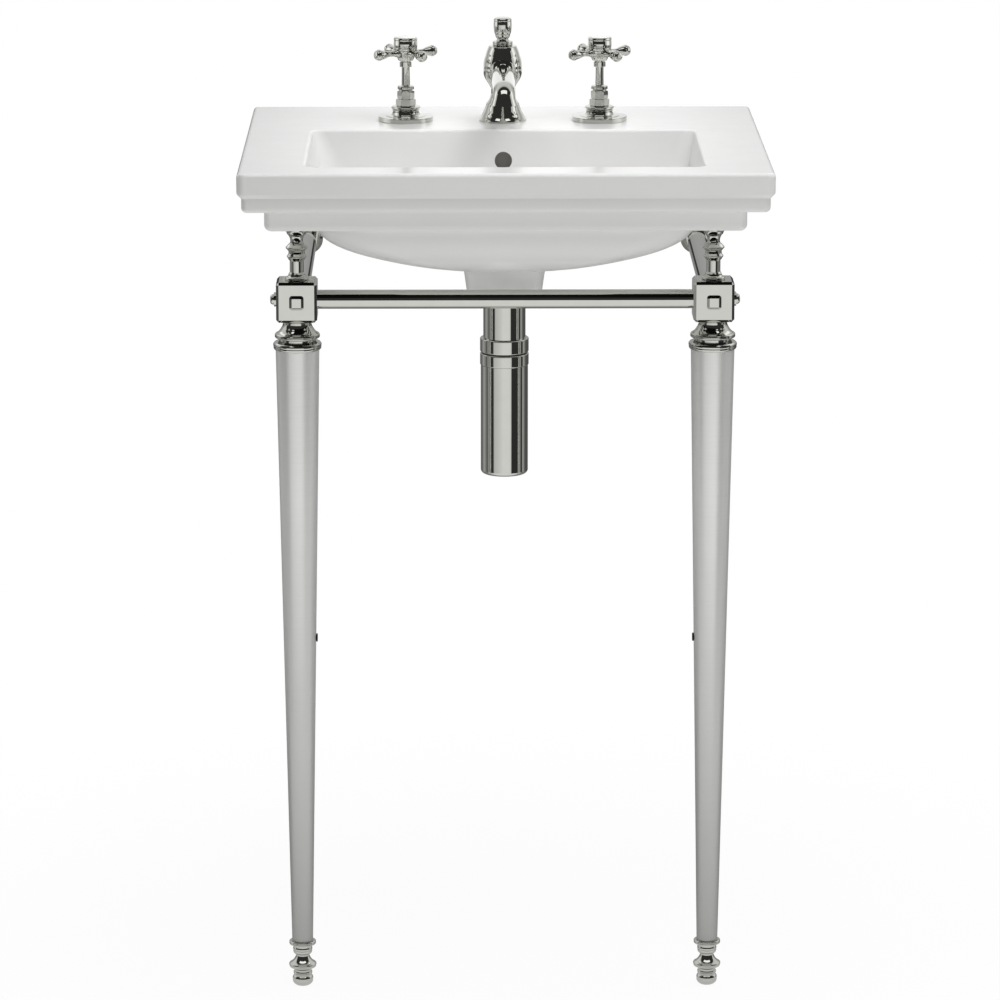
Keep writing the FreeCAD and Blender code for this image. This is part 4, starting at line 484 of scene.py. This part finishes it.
# %% Floor paint
SHADE_SHARE = 0.05    # share of true shading at the stand
SHADE_NEAR, SHADE_FAR = 0.2, FLOOR_RADIUS * 0.7    # metres from the middle over which it fades
DUSK_FRONT, DUSK_BACK, DUSK_LEVEL = -0.3, 0.1, 0.25    # where mirrors see it dim, and how dim
BOUNCE_LEVEL = 1.12
paint = bpy.data.materials.new("matt_white_floor_paint")
paint.use_nodes = True
tree = paint.node_tree
tree.nodes.clear()
place = node(tree, "ShaderNodeTexCoord").outputs["Object"]
reach = node(tree, "ShaderNodeVectorMath", {"operation": "LENGTH"}, {0: place})
shade_share = node(tree, "ShaderNodeMapRange", {"interpolation_type": "SMOOTHSTEP"}, {
    "Value": reach.outputs["Value"], "From Min": SHADE_NEAR, "From Max": SHADE_FAR,
    "To Min": SHADE_SHARE, "To Max": 0.0})
speckle = node(tree, "ShaderNodeTexNoise", inputs={
    "Vector": place, "Scale": per_metre(30), "Detail": 3.0})
tint = node(tree, "ShaderNodeMix", {"data_type": "RGBA"}, {
    SHARE: speckle.outputs["Fac"], FIRST: linear("#F7F7F6"), SECOND: linear("#F2F2F0")})
at = node(tree, "ShaderNodeSeparateXYZ", inputs={"Vector": place})
dusk = node(tree, "ShaderNodeMapRange", inputs={
    "Value": at.outputs["Y"], "From Min": DUSK_FRONT, "From Max": DUSK_BACK,
    "To Min": 1.0, "To Max": DUSK_LEVEL})
print(paint.name, "has", len(tree.nodes), "nodes for its patterns")

# %% Rays on the floor
matt = node(tree, "ShaderNodeBsdfDiffuse", inputs={"Color": tint.outputs[MIXED]})
white = node(tree, "ShaderNodeEmission", inputs={"Color": linear("#FFFFFF"), "Strength": 1.0})
bounce = node(tree, "ShaderNodeEmission", inputs={
    "Color": tint.outputs[MIXED], "Strength": BOUNCE_LEVEL})
mirrored = node(tree, "ShaderNodeEmission", inputs={
    "Color": linear("#FFFFFF"), "Strength": dusk.outputs["Result"]})
ray = node(tree, "ShaderNodeLightPath")
to_lens = node(tree, "ShaderNodeMixShader", inputs={
    0: shade_share.outputs["Result"], 1: white.outputs[0], 2: matt.outputs[0]})
plain_or_lens = node(tree, "ShaderNodeMixShader", inputs={
    0: ray.outputs["Is Camera Ray"], 1: bounce.outputs[0], 2: to_lens.outputs[0]})
by_ray = node(tree, "ShaderNodeMixShader", inputs={
    0: ray.outputs["Is Glossy Ray"], 1: plain_or_lens.outputs[0], 2: mirrored.outputs[0]})
node(tree, "ShaderNodeOutputMaterial", inputs={"Surface": by_ray.outputs[0]})
floor.data.materials.append(paint)
print(paint.name, "has", len(tree.nodes), "nodes")

# %% [markdown]
# ## Cards for the metal
# Photographers of metal stand cards just out of sight, so that a polished piece gets dark and
# bright stripes that show its shape. The front rail lies under the white basin and would mirror
# only that, so a black card hangs over the rail and the blocks. Three white cards stand behind and
# beside the taps and give them bright sides, and the one behind also lies as a soft gleam on the
# deck. The cards fade towards their ends, so that no edge shows.

# %% Board of a card
FADE_START, FADE_END = 0.05, 0.35    # shares of the width, from the middle
END_SHARE = 0.5    # brightness at the ends


def fading_board(name, brightness):
    """A material that glows by itself, brightest in the middle of the card."""
    board = bpy.data.materials.new(name + "_board")
    board.use_nodes = True
    tree = board.node_tree
    tree.nodes.clear()
    place = node(tree, "ShaderNodeTexCoord").outputs["Object"]
    along = node(tree, "ShaderNodeSeparateXYZ", inputs={"Vector": place})
    aside = node(tree, "ShaderNodeMath", {"operation": "ABSOLUTE"}, {0: along.outputs["X"]})
    fade = node(tree, "ShaderNodeMapRange", {"interpolation_type": "SMOOTHSTEP"}, {
        "Value": aside.outputs[0], "From Min": FADE_START, "From Max": FADE_END,
        "To Min": brightness, "To Max": brightness * END_SHARE})
    tone = node(tree, "ShaderNodeEmission", inputs={
        "Color": linear("#FFFFFF"), "Strength": fade.outputs["Result"]})
    node(tree, "ShaderNodeOutputMaterial", inputs={"Surface": tone.outputs[0]})
    return board


print("boards fade to", END_SHARE, "of their brightness")

# %% [markdown]
# ## Hang the cards
# Only mirrors see the cards: they throw no shadow and give no light.

# %% Cards
CARDS = (
    # name, middle, width, height, lean and turn in degrees, brightness
    ("black_card", (0.0, -0.1875, 0.765), 0.47, 0.075, 0, 0, 0.01),
    ("card_behind", (0.0, 0.36, 1.05), 1.0, 0.36, 90, 0, 1.1),
    ("card_left", (-0.5, 0.145, 1.05), 0.41, 0.36, 90, 90, 1.5),
    ("card_right", (0.5, 0.097, 1.05), 0.506, 0.36, 90, 90, 1.5),
)
for name, middle, width, height, lean, turn_angle, brightness in CARDS:
    bpy.ops.mesh.primitive_plane_add(size=1.0, location=middle)
    card = bpy.context.object
    card.name = name
    card.scale = (width, height, 1.0)
    card.rotation_euler = (math.radians(lean), 0.0, math.radians(turn_angle))
    card.data.materials.append(fading_board(name, brightness))
    card.visible_camera = False
    card.visible_diffuse = False
    card.visible_shadow = False
print("cards:", [row[0] for row in CARDS])

# %% [markdown]
# ## Lamps
# A broad soft lamp hangs overhead, a little to the front and to the right, so the deck is the
# brightest face and the front bands are a step darker. A reflector stands low in front on the right
# and opens up the bands' undersides and the belly. Two narrow lamps from the left and the right
# shine into the bowl, which the front rim would leave dim. The lens does not see the lamps, and
# neither do mirrors, which have the room and the cards instead.

# %% Lamps
LAMPS = (
    # name, place, point that it faces, width, height, watts, spread in degrees
    ("overhead", (0.45, -0.35, 2.5), (0.0, 0.0, 0.85), 1.6, 1.3, 24.5, 180),
    ("reflector", (1.1, -1.8, 0.4), (0.0, 0.0, 0.75), 2.0, 0.6, 5.5, 180),
    ("bowl_left", (-0.5, -0.5, 1.9), (0.0, 0.03, 0.84), 0.3, 0.2, 0.03, 22),
    ("bowl_right", (0.5, -0.5, 1.9), (0.0, 0.03, 0.84), 0.3, 0.2, 0.03, 22),
)
for name, place, faced, width, height, watts, spread in LAMPS:
    lamp = bpy.data.lights.new(name, "AREA")
    lamp.shape = "RECTANGLE"
    lamp.size, lamp.size_y = width, height
    lamp.energy = watts
    lamp.spread = math.radians(spread)
    holder = bpy.data.objects.new(name, lamp)
    bpy.context.scene.collection.objects.link(holder)
    holder.location = place
    aim = [b - a for a, b in zip(place, faced)]
    across = math.hypot(aim[0], aim[1])
    holder.rotation_euler = (math.atan2(across, -aim[2]), 0.0, math.atan2(-aim[0], aim[1]))
    holder.visible_camera = False
    holder.visible_glossy = False
print("lamps:", [row[0] for row in LAMPS])

# %% [markdown]
# ## Camera
# The picture looks as if it was taken with a long lens from about five metres away, at the eye
# height of someone who stands, and framed lower with a small vertical shift. The place, the tilt
# and the lens were worked out from the corners of the rim, the blocks and the feet.

# %% Camera
TILT_DOWN, TURN_RIGHT = 0.2142, 0.0085    # radians
lens = bpy.data.cameras.new("camera")
lens.sensor_width = 36.0
lens.lens = 174.74
lens.shift_x, lens.shift_y = 0.005, -0.085
camera = bpy.data.objects.new("camera", lens)
bpy.context.scene.collection.objects.link(camera)
camera.location = (-0.0509, -4.92, 1.6446)
camera.rotation_euler = (math.pi / 2 - TILT_DOWN, 0.0, -TURN_RIGHT)
bpy.context.scene.camera = camera
bpy.context.scene.view_settings.view_transform = "Standard"
print("camera", [round(value, 3) for value in camera.location], "lens", lens.lens, "mm")
